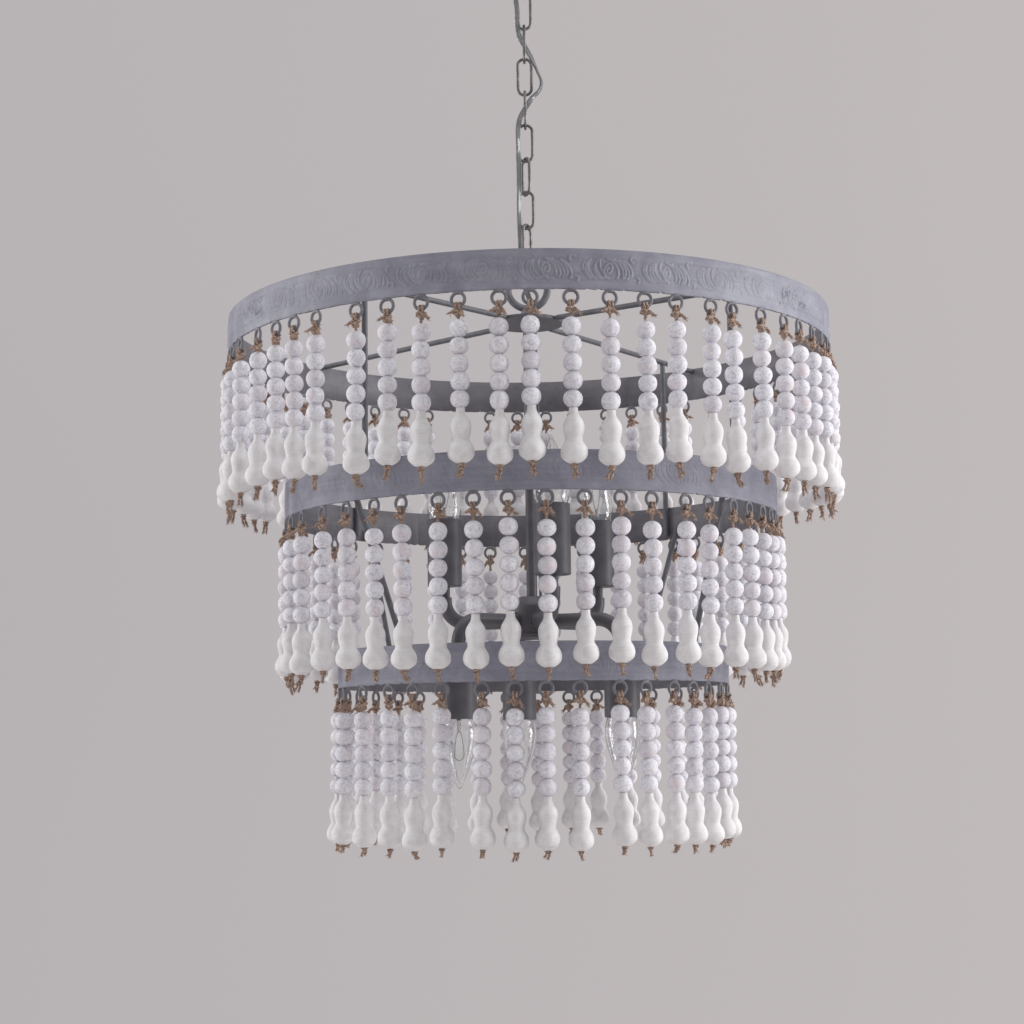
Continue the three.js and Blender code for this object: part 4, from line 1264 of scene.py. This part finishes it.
class CHANDELIER_OT_hoops(bpy.types.Operator):
    """Makes the embossed hoops and the string rings welded under them."""

    bl_idname = "chandelier.hoops"
    bl_label = "Hoops"

    def execute(self, context):
        hoops = context.scene.chandelier.hoops
        tree = wire_link_tree()
        for index, name in enumerate(HOOP_NAMES):
            band = new_piece(f"band_{name}", self.band_mesh(name, hoops, hoops.radii[index], index))
            settle(band, "fixture", "paint", f"hoop_{name}")
            azimuths = string_azimuths(context.scene, name)
            height = high(f"hoop_{name}") - hoops.band_height + WELD_DEPTH - hoops.ring_diameter / 2
            circle = hoops.radii[index] - hoops.band_thickness / 2
            noise = random.Random(31 + index)
            turns = [math.radians(a + 90 + noise.uniform(-7, 7)) for a in azimuths]
            base = point_base("rings", [around(circle, a, height) for a in azimuths], turn=turns)
            mesh = grow(f"string_rings_{name}", base, tree, {
                "Length": hoops.ring_diameter, "Width": hoops.ring_diameter, "Wire": hoops.ring_wire,
                "Path Steps": 22, "Wire Sides": 7, "Finish": finish_named("ring")})
            settle(new_piece(f"string_rings_{name}", mesh), "fixture", "paint")
            welds = Shape()
            for azimuth in azimuths:
                seat = around(circle, azimuth, high(f"hoop_{name}") - hoops.band_height)
                size = noise.uniform(1.5, 1.9) * MM
                turn = Matrix.Rotation(math.radians(azimuth), 4, "Z")
                weld = blob(Vector((0, 0, -0.5 * MM)), (size, size * 2.6, 2.1 * MM))
                welds.add(weld, matrix=Matrix.Translation(seat) @ turn)
            add_piece(f"ring_welds_{name}", welds, ["ring"], "fixture", "paint")
        return {"FINISHED"}

    def scroll_strokes(self, noise):
        """The strokes of one scroll motif, in shares of its width, from the middle of the relief."""
        strokes = []

        def arc(across, up, radius_share, start, end, flatten=1.0, lean=0.0):
            first, last = start + noise.uniform(-12, 12), end + noise.uniform(-12, 12)
            angles = np.radians(np.linspace(first, last, 26))
            size = radius_share * noise.uniform(0.86, 1.1)
            rise = size * flatten * np.sin(angles)
            slope = lean + noise.uniform(-0.14, 0.14)
            strokes.append(np.stack([
                across + noise.uniform(-0.012, 0.012) + size * np.cos(angles) + slope * rise,
                up + noise.uniform(-0.02, 0.02) + rise], 1))

        turns = noise.uniform(3.3, 4.2) * math.pi
        angles = np.linspace(0.4 * math.pi, turns, 80)
        curl_share = np.linspace(0.02, 0.115, 80)
        slope = noise.uniform(-0.1, 0.35)
        strokes.append(np.stack([
            curl_share * 0.72 * np.cos(angles) + slope * curl_share * np.sin(angles),
            curl_share * 1.12 * np.sin(angles)], 1))
        for k in range(6):
            arc(-0.01 - 0.055 * k, 0.02 - 0.01 * k, 0.135, 122, 232, 1.2, -0.3)
        for k in range(5):
            arc(0.02 + 0.058 * k, 0.0, 0.13, -56, 60, 1.2, -0.34)
        arc(0.05, 0.185, 0.07, 195, 330, 0.55)
        arc(-0.06, -0.19, 0.07, 20, 150, 0.55)
        arc(0.42, 0.15, 0.05, 60, 250, 0.9)
        arc(0.46, -0.14, 0.05, -70, 100, 0.9)
        return np.concatenate(strokes)

    def relief_at(self, across, up, hoops, noise):
        """Height share, and how deep the hollow beside a stroke is, for places on one motif."""
        width = hoops.motif_width
        strokes = self.scroll_strokes(noise) * width
        strokes = np.concatenate([strokes, strokes + (width, 0), strokes - (width, 0)])
        places = np.stack([across, up], -1)
        gaps = np.linalg.norm(places[..., None, :] - strokes, axis=-1).min(axis=-1)
        raised = np.exp(-(gaps / (0.8 * MM)) ** 2)
        hollow = np.exp(-((gaps - 1.6 * MM) / (0.6 * MM)) ** 2)
        zone = np.clip((RELIEF_REACH - np.abs(up)) / (1.5 * MM), 0, 1)
        return raised * zone, hollow * zone

    def edge_bites(self, noise, columns):
        """How far the lower edge is eaten up at each column: a fine wave, and a few rough bites."""
        bites = np.convolve(noise.normal(0, 1, columns), np.ones(5) / 5, mode="same") * 0.22 * MM
        for place in noise.integers(0, columns, columns // 55):
            for k, share in enumerate((0.4, 1.0, 0.8, 0.3)):
                bites[(place + k) % columns] += share * noise.uniform(0.5, 1.3) * MM
        return bites

    def band_mesh(self, name, hoops, radius, index):
        """A strip bent round, embossed outside, with broken edges and a plain inside."""
        motifs = round(FULL_TURN * radius / hoops.motif_width)
        per_motif = 60
        columns = motifs * per_motif
        half = hoops.band_height / 2
        edge = 0.35 * MM
        ups = np.concatenate([
            np.linspace(edge - half, -RELIEF_REACH, 4)[:-1],
            np.linspace(-RELIEF_REACH, RELIEF_REACH, 29),
            np.linspace(RELIEF_REACH, half - edge, 4)[1:]])
        rows = len(ups)
        across = (np.arange(per_motif) + 0.5) / per_motif * hoops.motif_width - hoops.motif_width / 2
        grid_across, grid_up = np.meshgrid(across, ups, indexing="ij")
        reliefs = [self.relief_at(grid_across, grid_up, hoops, random.Random(k)) for k in range(5)]
        noise = np.random.default_rng(11 + index)
        picked = noise.integers(0, len(reliefs), motifs)
        raised = np.concatenate([reliefs[k][0] for k in picked])
        hollow = np.concatenate([reliefs[k][1] for k in picked])
        strength = np.repeat(noise.uniform(0.35, 1.0, motifs), per_motif) * RELIEF_SHARES[index]
        ragged = self.edge_bites(noise, columns)
        angles = FULL_TURN * np.arange(columns) / columns
        low_edge = high(f"hoop_{name}") - hoops.band_height
        centre = low_edge + half
        inner = radius - hoops.band_thickness
        # The section's corners as radius, height and row of the relief: outside, top, inside, bottom
        outline = [(radius, up, k) for k, up in enumerate(ups)]
        outline += [(radius - edge, half, None), (inner + edge, half, None)]
        outline += [(inner, half - edge, None), (inner, edge - half, None)]
        outline += [(inner + edge, -half, None), (radius - edge, -half, None)]
        corners = np.zeros((columns, len(outline), 3))
        values = {key: np.zeros((columns, len(outline))) for key in ("relief", "hollow", "edge", "rim")}
        for k, (r, up, row) in enumerate(outline):
            away = np.full(columns, r)
            if row is not None:
                lifted = raised[:, row] * strength
                sunk = hollow[:, row] * strength
                away = away + (lifted - 0.35 * sunk) * hoops.relief_height
                # These shares also drive the paint's painted highlight on the scrolls and painted shade in
                # their hollows
                values["relief"][:, k] = lifted
                values["hollow"][:, k] = sunk
            near = max(0.0, 1 - (half - abs(up)) / (2.2 * MM)) * (1.0 if up < 0 else 0.72)
            values["edge"][:, k] = near
            values["rim"][:, k] = 1.0 if up == half else 0.0
            corners[:, k, 0] = away * np.cos(angles)
            corners[:, k, 1] = away * np.sin(angles)
            corners[:, k, 2] = centre + up + (ragged if up < -half + 2 * edge else 0)
        count = len(outline)
        faces, numbers = [], []
        for i in range(columns):
            here, there = i * count, ((i + 1) % columns) * count
            for k in range(count):
                j = (k + 1) % count
                faces.append((here + k, there + k, there + j, here + j))
                numbers.append(1 if rows + 1 <= k <= rows + 3 else 0)
        mesh = bpy.data.meshes.new(f"band_{name}")
        mesh.from_pydata(corners.reshape(-1, 3).tolist(), [], faces)
        for key in ("chalk", "inner"):
            mesh.materials.append(finish_named(key))
        mesh.polygons.foreach_set("material_index", numbers)
        for key, grid in values.items():
            mesh.attributes.new(key, "FLOAT", "POINT").data.foreach_set("value", grid.ravel())
        mesh.shade_smooth()
        mesh.set_sharp_from_angle(angle=math.radians(50))
        mesh.update()
        return mesh


def ring_place(scene, name, azimuth):
    """The middle of the ring's wire that a string hangs from."""
    hoops = scene.chandelier.hoops
    radius = hoops.radii[HOOP_NAMES.index(name)] - hoops.band_thickness / 2
    drop = hoops.ring_diameter - WELD_DEPTH - hoops.ring_wire / 2
    return around(radius, azimuth, high(f"hoop_{name}") - hoops.band_height - drop)


def image_column(scene, place):
    """Where a place shows across the picture, in pixels."""
    camera = scene.camera
    seen = camera.matrix_world.inverted() @ place
    focal = camera.data.lens / 36 * IMAGE_SIZE
    return IMAGE_SIZE / 2 + focal * seen.x / -seen.z


# The azimuths between which the picture shows a hoop's front, in degrees
FRONT_START, FRONT_END = 190, 350


def string_azimuths(scene, name):
    """Every ring's azimuth on a hoop: the front ones as in the picture, the rest spread evenly."""
    table = np.linspace(FRONT_START, FRONT_END, 10 * (FRONT_END - FRONT_START) + 1)
    columns = [image_column(scene, ring_place(scene, name, a)) for a in table]
    front = [float(np.interp(x, columns, table)) for x in FRONT_RING_PIXELS[name]]
    # The first swinging string of a hoop takes the place of the nearest front one
    fixed = [azimuth for hoop, azimuth, body in SWINGING_STRINGS if hoop == name]
    own = min(range(len(front)), key=lambda i: abs(front[i] - fixed[0]))
    front[own] = fixed[0]
    marks = front + [a + (360 if a < front[-1] else 0) for a in fixed[1:]] + [front[0] + 360]
    marks.sort()
    spare = STRING_TOTALS[name] - (len(marks) - 1)
    noise = random.Random(STRING_TOTALS[name])
    spread = 360 / STRING_TOTALS[name]
    azimuths = list(marks[:-1])
    wide_gaps = [(a, b) for a, b in zip(marks, marks[1:]) if b - a > 2.5 * spread]
    for number, (a, b) in enumerate(wide_gaps):
        share = (b - a) / sum(y - x for x, y in wide_gaps[number:])
        count = round(spare * share)
        spare -= count
        step = (b - a) / (count + 1)
        azimuths += [a + step * (k + 1) + noise.uniform(-0.1, 0.1) * step for k in range(count)]
    return sorted(a % 360 for a in azimuths)


# How far a string may lean, as a share of its length, and about how long one is
LEAN = 0.012
STRING_LENGTH = 150 * MM


def swinging_body(name, azimuth):
    """The body of the swinging string at an azimuth on a hoop, if there is one."""
    for hoop, own_azimuth, body in SWINGING_STRINGS:
        if hoop == name and abs((own_azimuth - azimuth + 180) % 360 - 180) < 0.01:
            return body
    return None


class CHANDELIER_OT_strings(bpy.types.Operator):
    """Hangs the bead strings: fixed ones joined by hoop, and five that swing."""

    bl_idname = "chandelier.strings"
    bl_label = "Bead strings"

    def execute(self, context):
        scene = context.scene
        sizes = scene.chandelier.strings
        tree = string_tree()
        shelves = self.make_shelves(sizes)
        noise = random.Random(sizes.seed)
        for index, name in enumerate(HOOP_NAMES):
            azimuths = string_azimuths(scene, name)
            lower, close = STRING_FITS[name]
            hung = []
            for i, azimuth in enumerate(azimuths):
                after = azimuths[(i + 1) % len(azimuths)]
                gap = min((azimuth - azimuths[i - 1]) % 360, (after - azimuth) % 360)
                place = ring_place(scene, name, azimuth)
                room = math.radians(gap) * place.xy.length - sizes.gourd_diameter - MM
                sway = min(LEAN, max(room, 0.0) / 2 / STRING_LENGTH)
                away = Vector((place.x, place.y, 0)).normalized()
                along = Vector((-away.y, away.x, 0))
                hang = Vector((0, 0, -1)) + away * noise.uniform(-LEAN, LEAN)
                hang = (hang + along * noise.uniform(-sway, sway)).normalized()
                body = swinging_body(name, azimuth)
                own = (math.radians(azimuth + 90), lower + noise.uniform(-1.8, 1.8) * MM,
                       close + noise.uniform(-0.02, 0.02), TAIL_SHARES[name])
                if body:
                    self.hang_strings(body + "_hung", [(place, Vector((0, 0, -1)), *own)], tree, sizes,
                                      shelves, index, body, body)
                else:
                    hung.append((place, hang, *own))
            half = len(hung) // 2
            for word, part in (("right", hung[:half]), ("left", hung[half:])):
                self.hang_strings(f"strings_{name}_{word}", part, tree, sizes, shelves, index, "fixture")
        for shelf in shelves.values():
            for template in list(shelf.objects):
                bpy.data.objects.remove(template)
            bpy.data.collections.remove(shelf)
        return {"FINISHED"}

    def hang_strings(self, piece_name, hung, tree, sizes, shelves, index, body, *nodes):
        """Grows strings under the given places and settles them on a body."""
        places, hangs, facings, slacks, snugs, trims = zip(*hung)
        base = point_base(piece_name, places, hang=hangs, facing=facings, slack=slacks, snug=snugs,
                          trim=trims)
        mesh = grow(piece_name, base, tree, {
            "Beads": shelves["beads"], "Gourds": shelves["gourds"], "Ties": shelves["ties"],
            "Tails": shelves["tails"], "Bead Count": sizes.bead_count,
            "Bead Drop": sizes.bead_drop, "Bead Pitch": sizes.bead_pitch,
            "Tail Drop": sizes.bead_drop + sizes.gourd_height,
            "Seed": sizes.seed + index + len(places), "Bead Finish": finish_named("bead"),
            "Gourd Finish": finish_named("gourd"), "Jute Finish": finish_named("jute")})
        settle(new_piece(piece_name, mesh), body, "bead_wood", *nodes)

    def make_shelves(self, sizes):
        """Shapes that the strings are hung from, a few of each kind, in collections of their own."""
        makers = {"beads": self.bead, "gourds": self.gourd, "ties": self.tie, "tails": self.tail}
        shelves = {}
        for kind, maker in makers.items():
            shelf = bpy.data.collections.new(kind)
            bpy.context.scene.collection.children.link(shelf)
            for number in range(SHAPES_OF_A_KIND):
                noise = random.Random(f"{kind} {number}")
                mesh = maker(sizes, noise).mesh(f"{kind}_{number}", ["bead"], corner_degrees=60)
                shelf.objects.link(bpy.data.objects.new(f"{kind}_{number}", mesh))
            shelves[kind] = shelf
        return shelves

    def bead(self, sizes, noise):
        """A round bead, a little flattened at its two holes."""
        radius, half = sizes.bead_diameter / 2, sizes.bead_pitch / 2
        flat = noise.uniform(0.93, 1.0)
        outline = [(0.0, -half * 0.98)]
        for a in np.linspace(-1.28, 1.28, 8):
            outline.append((radius * math.cos(a) ** 0.9, half * 1.04 * math.sin(a) * flat))
        outline.append((0.0, half * 0.98))
        return Shape().add(lathe(outline, 12))

    def gourd(self, sizes, noise):
        """The turned drop: a neck, a shoulder, a waist and a ball with a flat foot."""
        radius, height = sizes.gourd_diameter / 2, sizes.gourd_height
        belly = noise.uniform(0.97, 1.02)
        gourd_shares = (
            (0.36, 0.0), (0.52, 0.018), (0.68, 0.045), (0.87, 0.085), (0.97, 0.132), (1.0, 0.185),
            (0.985, 0.24), (0.88, 0.312), (0.73, 0.372), (0.65, 0.415), (0.67, 0.47), (0.745, 0.55),
            (0.79, 0.635), (0.765, 0.71), (0.64, 0.785), (0.46, 0.85), (0.355, 0.91), (0.33, 1.0))
        points = [(min(share * belly, 1.0) * radius, (up - 1) * height) for share, up in gourd_shares]
        outline = [(0.0, -height)] + smooth_outline(points, 2) + [(0.0, 0.0)]
        return Shape().add(lathe(outline, 14))

    def strand(self, shape, points, radius, noise, frayed=False):
        """A length of two-ply twine through the points, with loose hairs if its end is frayed."""
        path = smooth_path(points, 3) if len(points) < 8 else [Vector(p) for p in points]
        scales = [noise.uniform(0.92, 1.08) for place in path]
        plied = [(radius * u, radius * v * 0.72) for u, v in round_section(1.0, 6)]
        run = sum((b - a).length for a, b in zip(path, path[1:]))
        half_turn = 4.2 * MM
        twist = math.pi * run / half_turn / (len(path) - 1)
        shape.add(sweep(path, plied, scales=scales, twist=min(twist, 0.9)))
        for k in range(3):
            self.hair(shape, noise.choice(path), Vector((0, 0, -0.6)), radius, noise)
        if frayed:
            ahead = (path[-1] - path[-2]).normalized()
            for k in range(8):
                self.hair(shape, path[-1] - ahead * 0.8 * MM, ahead * 1.6, radius, noise)

    def hair(self, shape, place, lean, radius, noise):
        """One loose fibre that stands off the twine."""
        side = Vector((noise.uniform(-1, 1), noise.uniform(-1, 1), noise.uniform(-1, 1)))
        start = place + side.normalized() * radius * 0.55
        tip = start + (lean + side * 0.9).normalized() * noise.uniform(1.8, 3.6) * MM
        shape.add(sweep([start, start.lerp(tip, 0.55) + side * 0.2 * MM, tip],
                        round_section(radius * 0.2, 3), scales=(1, 0.8, 0.3)))

    def knot(self, shape, centre, size, radius, noise):
        """A half hitch pulled tight: three crossing turns of twine round a filled middle."""
        path = []
        for t in np.linspace(0, FULL_TURN * 0.97, 40):
            x = (math.sin(t) + 1.6 * math.sin(2 * t)) / 2.6
            y = (math.cos(t) - 1.6 * math.cos(2 * t)) / 2.6
            z = -math.sin(3 * t)
            path.append(centre + Vector((x * size[0], z * size[1], y * size[2])))
        spin = Matrix.Rotation(noise.uniform(-0.5, 0.5), 4, "Z")
        path = [centre + spin @ (p - centre) for p in path]
        self.strand(shape, path, radius, noise)
        shape.add(blob(centre, (size[0] * 0.85, size[1] * 1.1, size[2] * 0.95), 8, 6))

    def tie(self, sizes, noise):
        """The top tie: two turns round the ring's wire, a tight knot and a cut end to one side."""
        shape = Shape()
        radius = sizes.twine_diameter / 2
        loop = 1.5 * MM + radius * 0.85
        for side in (-0.9, 0.9):
            lean = noise.uniform(-0.4, 0.4) * MM
            ring = [Vector((side * radius + lean * math.cos(a), loop * math.sin(a),
                            loop * math.cos(a) * 1.05)) for a in np.linspace(-2.7, 2.7, 13)]
            self.strand(shape, ring, radius * 1.08, noise)
        knot_at = Vector((noise.uniform(-0.5, 0.5) * MM, -0.3 * MM, -5.4 * MM))
        self.knot(shape, knot_at, (4.2 * MM, 2.5 * MM, 3.1 * MM), radius * 1.12, noise)
        down = [knot_at, Vector((0, 0, -sizes.bead_drop)), Vector((0, 0, -sizes.bead_drop - 7 * MM))]
        self.strand(shape, down, radius, noise)
        reach = noise.uniform(0.6, 0.95)
        end = [knot_at + Vector((1.6 * MM, -1.6 * MM, 0)),
               knot_at + Vector((4.6 * MM, -3.0 * MM, -0.7 * MM)),
               knot_at + Vector((7.4 * MM * reach, -3.8 * MM, -2.8 * MM * reach)),
               knot_at + Vector((9.4 * MM * reach, -4.2 * MM, -5.4 * MM * reach))]
        self.strand(shape, end, radius * 1.15, noise, frayed=True)
        if noise.random() < 0.6:
            spare = [knot_at + Vector((-1.6 * MM, -1.6 * MM, 0)),
                     knot_at + Vector((-4.2 * MM, -2.8 * MM, 0.6 * MM)),
                     knot_at + Vector((-6.4 * MM, -3.4 * MM, -1.6 * MM * reach))]
            self.strand(shape, spare, radius * 1.1, noise, frayed=True)
        return shape

    def tail(self, sizes, noise):
        """The end below the drop: a tight knot, then two thick frayed strands side by side."""
        shape = Shape()
        radius = sizes.twine_diameter / 2
        knot_at = Vector((0, 0, -2.4 * MM))
        self.knot(shape, knot_at, (2.5 * MM, 1.9 * MM, 2.0 * MM), radius * 0.92, noise)
        bend = Vector((noise.uniform(-0.22, 0.22), noise.uniform(-0.22, 0.22), 0))
        for side in (-1, 1):
            apart = Vector((side * 1.35, noise.uniform(-0.5, 0.5), 0)) * MM
            depth = noise.uniform(10.5, 13.0) * MM
            path = [knot_at + apart * 0.6, knot_at + apart * 1.1 + Vector((0, 0, -4 * MM)) + bend * 2 * MM,
                    Vector((0, 0, -depth)) + apart * 1.25 + bend * depth]
            self.strand(shape, path, radius * 1.02, noise, frayed=True)
        return shape


# The lamp body's radius, and how much of an upper and a lower lamp's nipple shows under its sleeve
DRUM_RADIUS = 21.5 * MM
UPPER_NIPPLE = 11.3 * MM
LOWER_NIPPLE = 1.2 * MM
# The hole that each lamp's nipple goes through, how far the bulb sits in, and its cap's height
NIPPLE_HOLE = 5.3 * MM
BULB_DEPTH = 10 * MM
CAP_HEIGHT = 22 * MM


class CHANDELIER_OT_lamps(bpy.types.Operator):
    """Makes the stem, the lamp body and the six candle lamps with their bulbs."""

    bl_idname = "chandelier.lamps"
    bl_label = "Candle lamps"

    def execute(self, context):
        sizes = context.scene.chandelier.lamps
        self.add_stem()
        arm_height = low("lamp_arm_1") + sizes.arm_diameter / 2
        for i in range(LAMP_COUNT):
            upper = i % 2 == 0
            azimuth = FIRST_LAMP_AZIMUTH + 360 / LAMP_COUNT * i - (0 if upper else LOWER_LAMP_TURN)
            turn = Matrix.Rotation(math.radians(azimuth), 4, "Z")
            flip = Matrix.Identity(4) if upper else Matrix.Rotation(math.pi, 4, "X")
            place = Matrix.Translation((0, 0, arm_height)) @ turn @ flip
            self.add_lamp(i + 1, place, UPPER_NIPPLE if upper else LOWER_NIPPLE, sizes)
        return {"FINISHED"}

    def add_stem(self):
        """The centre tube, and the turned drum with its foot plate and nut."""
        top, foot = high("centre_stem"), low("centre_stem")
        outer, bore, depth = 5.3 * MM, 3.5 * MM, 12 * MM
        stem = [(0.0, foot), (outer, foot), (outer, top), (bore, top), (bore, top - depth),
                (0.0, top - depth)]
        shape = Shape().add(lathe(stem, 32))
        add_piece("stem_tube", shape, ["enamel"], "fixture", "dark_metal", "centre_stem")
        low_end, high_end = low("lamp_body"), high("lamp_body")
        drum = [
            (0.0, low_end), (21.6 * MM, low_end), (23 * MM, low_end + 0.8 * MM),
            (23 * MM, low_end + 4.4 * MM), (22.2 * MM, low_end + 5 * MM), (21.2 * MM, low_end + 5 * MM),
            (21.2 * MM, low_end + 5.8 * MM), (DRUM_RADIUS, low_end + 6.2 * MM),
            (DRUM_RADIUS, high_end - 10.4 * MM), (20.9 * MM, high_end - 8.6 * MM),
            (13.4 * MM, high_end - 0.5 * MM), (12.4 * MM, high_end), (0.0, high_end)]
        add_piece("lamp_drum", Shape().add(lathe(drum, 64)), ["enamel"], "fixture", "dark_metal",
                  "lamp_body", corner_degrees=30)

    def add_lamp(self, number, place, show, sizes):
        """One lamp on its arm, drawn along X with the bend up and put in place by a matrix."""
        bend, tube = sizes.arm_bend, sizes.arm_diameter / 2
        straight = 3 * MM
        path = [Vector((DRUM_RADIUS + SEAT_GAP, 0, 0)), Vector((DRUM_RADIUS + 6 * MM, 0, 0))]
        path += [Vector((sizes.circle - bend + bend * math.sin(a), 0, bend * (1 - math.cos(a))))
                 for a in np.linspace(0, math.pi / 2, 15)]
        path.append(Vector((sizes.circle, 0, bend + straight)))
        arm = Shape().add(sweep(path, round_section(tube, 24), wide=[Vector((0, 1, 0))] * len(path)),
                          matrix=place)
        wide, thick, broken = 8.9 * MM, 3.1 * MM, 0.5 * MM
        nut = [(0.0, 0.0), (wide - broken, 0.0), (wide, broken), (wide, thick - broken),
               (wide - broken, thick), (0.0, thick)]
        along = (Matrix.Translation((DRUM_RADIUS + SEAT_GAP, 0, 0))
                 @ Matrix.Rotation(math.pi / 2, 4, "Y"))
        arm.add(lathe(nut, 6), matrix=place @ along)
        foot = bend + straight + show
        nipple = [(0.0, bend + straight - WELD_DEPTH), (5 * MM, bend + straight - WELD_DEPTH),
                  (5 * MM, foot + 8 * MM), (0.0, foot + 8 * MM)]
        stand = place @ Matrix.Translation((sizes.circle, 0, 0))
        arm.add(lathe(nipple, 24), matrix=stand)
        add_piece(f"arm_{number}", arm, ["enamel"], "fixture", "dark_metal", f"lamp_arm_{number}")

        outer, wall = sizes.sleeve_diameter / 2, sizes.sleeve_wall
        top, floor = foot + sizes.sleeve_length, foot + 2 * MM
        sleeve = [
            (NIPPLE_HOLE, foot), (outer - 0.8 * MM, foot), (outer, foot + 0.8 * MM),
            (outer, top - 0.3 * MM), (outer - 0.3 * MM, top), (outer - wall + 0.3 * MM, top),
            (outer - wall, top - 0.3 * MM), (outer - wall, floor), (NIPPLE_HOLE, floor)]
        shape = Shape().add(lathe(sleeve, 56, closed=True), matrix=stand)
        add_piece(f"sleeve_{number}", shape, ["enamel"], "fixture", "dark_metal",
                  f"candle_sleeve_{number}")

        glass_foot = top - BULB_DEPTH
        cap_tip = glass_foot - CAP_HEIGHT
        holder = [
            (0.0, foot + 8.3 * MM), (NIPPLE_HOLE, foot + 8.3 * MM), (NIPPLE_HOLE, floor + SEAT_GAP),
            (13.2 * MM, floor + SEAT_GAP), (14 * MM, floor + 1.2 * MM), (14 * MM, glass_foot - 1.6 * MM),
            (13 * MM, glass_foot - SEAT_GAP), (7.6 * MM, glass_foot - SEAT_GAP),
            (7.3 * MM, glass_foot - 1.5 * MM), (7.3 * MM, cap_tip - SEAT_GAP), (0.0, cap_tip - SEAT_GAP)]
        shape = Shape().add(lathe(holder, 40), matrix=stand)
        add_piece(f"holder_{number}", shape, ["holder"], "fixture", "holder_plastic",
                  f"lamp_holder_{number}")
        self.add_bulb(number, stand, glass_foot, sizes)

    def add_bulb(self, number, stand, glass_foot, sizes):
        """A clear candle bulb: blown envelope, screw cap, glass stem, support wires and filament."""
        radius, tall, wall = sizes.bulb_diameter / 2, sizes.bulb_length, sizes.glass_wall
        envelope_shares = (
            (0.36, -0.02), (0.46, 0.0), (0.66, 0.06), (0.88, 0.15), (1.0, 0.29), (0.97, 0.4),
            (0.86, 0.53), (0.69, 0.66), (0.5, 0.78), (0.32, 0.88), (0.18, 0.955), (0.08, 0.99),
            (0.0, 1.0))
        outside = smooth_outline([(r * radius, glass_foot + z * tall) for r, z in envelope_shares], 3)
        outside[-1] = (0.0, outside[-1][1])
        inside = [(max(r - wall, 0.0), z - wall * (0.2 + 0.8 * (z - glass_foot) / tall))
                  for r, z in outside[:-1]]
        inside = [(r, z) for r, z in inside if r > 0.3 * MM] + [(0.0, outside[-1][1] - 1.4 * wall)]
        sides = 40
        corners, walls = lathe(outside + list(reversed(inside)), sides)
        last = len(corners) - sides
        neck = [(last + i, last + (i + 1) % sides, (i + 1) % sides, i) for i in range(sides)]
        whole = Shape().add((corners, walls + neck), matrix=stand)

        def above_foot(*pairs):
            """Outline points given in millimetres from the glass's foot."""
            return [(across * MM, glass_foot + up * MM) for across, up in pairs]

        cap = above_foot((0, -22), (3, -22), (3.4, -20.6), (5.8, -19), (6.4, -17.6))
        for k in range(6):
            cap += above_foot((6.35, 2.6 * k - 17), (6.95, 2.6 * k - 15.7))
        cap += above_foot((6.3, -1.2), (6.6, -0.3), (0, -0.3))
        whole.add(lathe(cap, 32), 1, matrix=stand)
        stem = smooth_outline(above_foot((4.6, 0.5), (3, 6), (2.1, 16), (1.5, 22)), 3)
        whole.add(lathe(above_foot((0, 0.5)) + stem + above_foot((0, 23)), 16), matrix=stand)
        for side in (-1, 1):
            lead = above_foot((1, 21), (3.2, 27), (5.2, 38), (5.6, 44))
            lead = [(side * across, 0, up) for across, up in lead]
            whole.add(sweep(smooth_path(lead, 3), round_section(0.28 * MM, 6)), 2, matrix=stand)
        tip = glass_foot + 44 * MM
        arch = [(5.6 * MM * math.cos(a), 0, tip + 5 * MM * math.sin(a))
                for a in np.linspace(0, math.pi, 13)]
        whole.add(sweep(arch, round_section(0.36 * MM, 6)), 2, matrix=stand)
        add_piece(f"bulb_{number}", whole, ["glass", "nickel", "filament"], "fixture", "bulb_glass",
                  f"candle_bulb_{number}")


class CHANDELIER_PT_panel(bpy.types.Panel):
    """Lists the sizes and the steps in the sidebar."""

    bl_idname = "CHANDELIER_PT_panel"
    bl_label = "Beaded chandelier"
    bl_space_type = "VIEW_3D"
    bl_region_type = "UI"
    bl_category = "Chandelier"

    def draw(self, context):
        settings = context.scene.chandelier
        for operator in OPERATORS:
            self.layout.operator(operator.bl_idname)
        for group in settings.__annotations__:
            box = self.layout.box()
            box.label(text=group.capitalize())
            values = getattr(settings, group)
            for key in values.__annotations__:
                box.prop(values, key)


OPERATORS = (
    CHANDELIER_OT_stage, CHANDELIER_OT_cord, CHANDELIER_OT_ceiling_fitting, CHANDELIER_OT_chain,
    CHANDELIER_OT_frame, CHANDELIER_OT_hoops, CHANDELIER_OT_strings, CHANDELIER_OT_lamps,
)
CLASSES = (
    HoopSettings, StringSettings, ChainSettings, FrameSettings, LampSettings, TintSettings,
    StageSettings, ChandelierSettings, *OPERATORS, CHANDELIER_PT_panel,
)


def register():
    """Adds the add-on's classes and its settings on the scene."""
    for cls in CLASSES:
        bpy.utils.register_class(cls)
    bpy.types.Scene.chandelier = bpy.props.PointerProperty(type=ChandelierSettings)


def unregister():
    """Takes away what register added."""
    del bpy.types.Scene.chandelier
    for cls in reversed(CLASSES):
        bpy.utils.unregister_class(cls)


def main():
    """Builds the stage and every piece."""
    register()
    bpy.ops.chandelier.stage()
    bpy.ops.chandelier.cord()
    bpy.ops.chandelier.ceiling_fitting()
    bpy.ops.chandelier.chain()
    bpy.ops.chandelier.frame()
    bpy.ops.chandelier.hoops()
    bpy.ops.chandelier.strings()
    bpy.ops.chandelier.lamps()


if __name__ == "__main__":
    main()
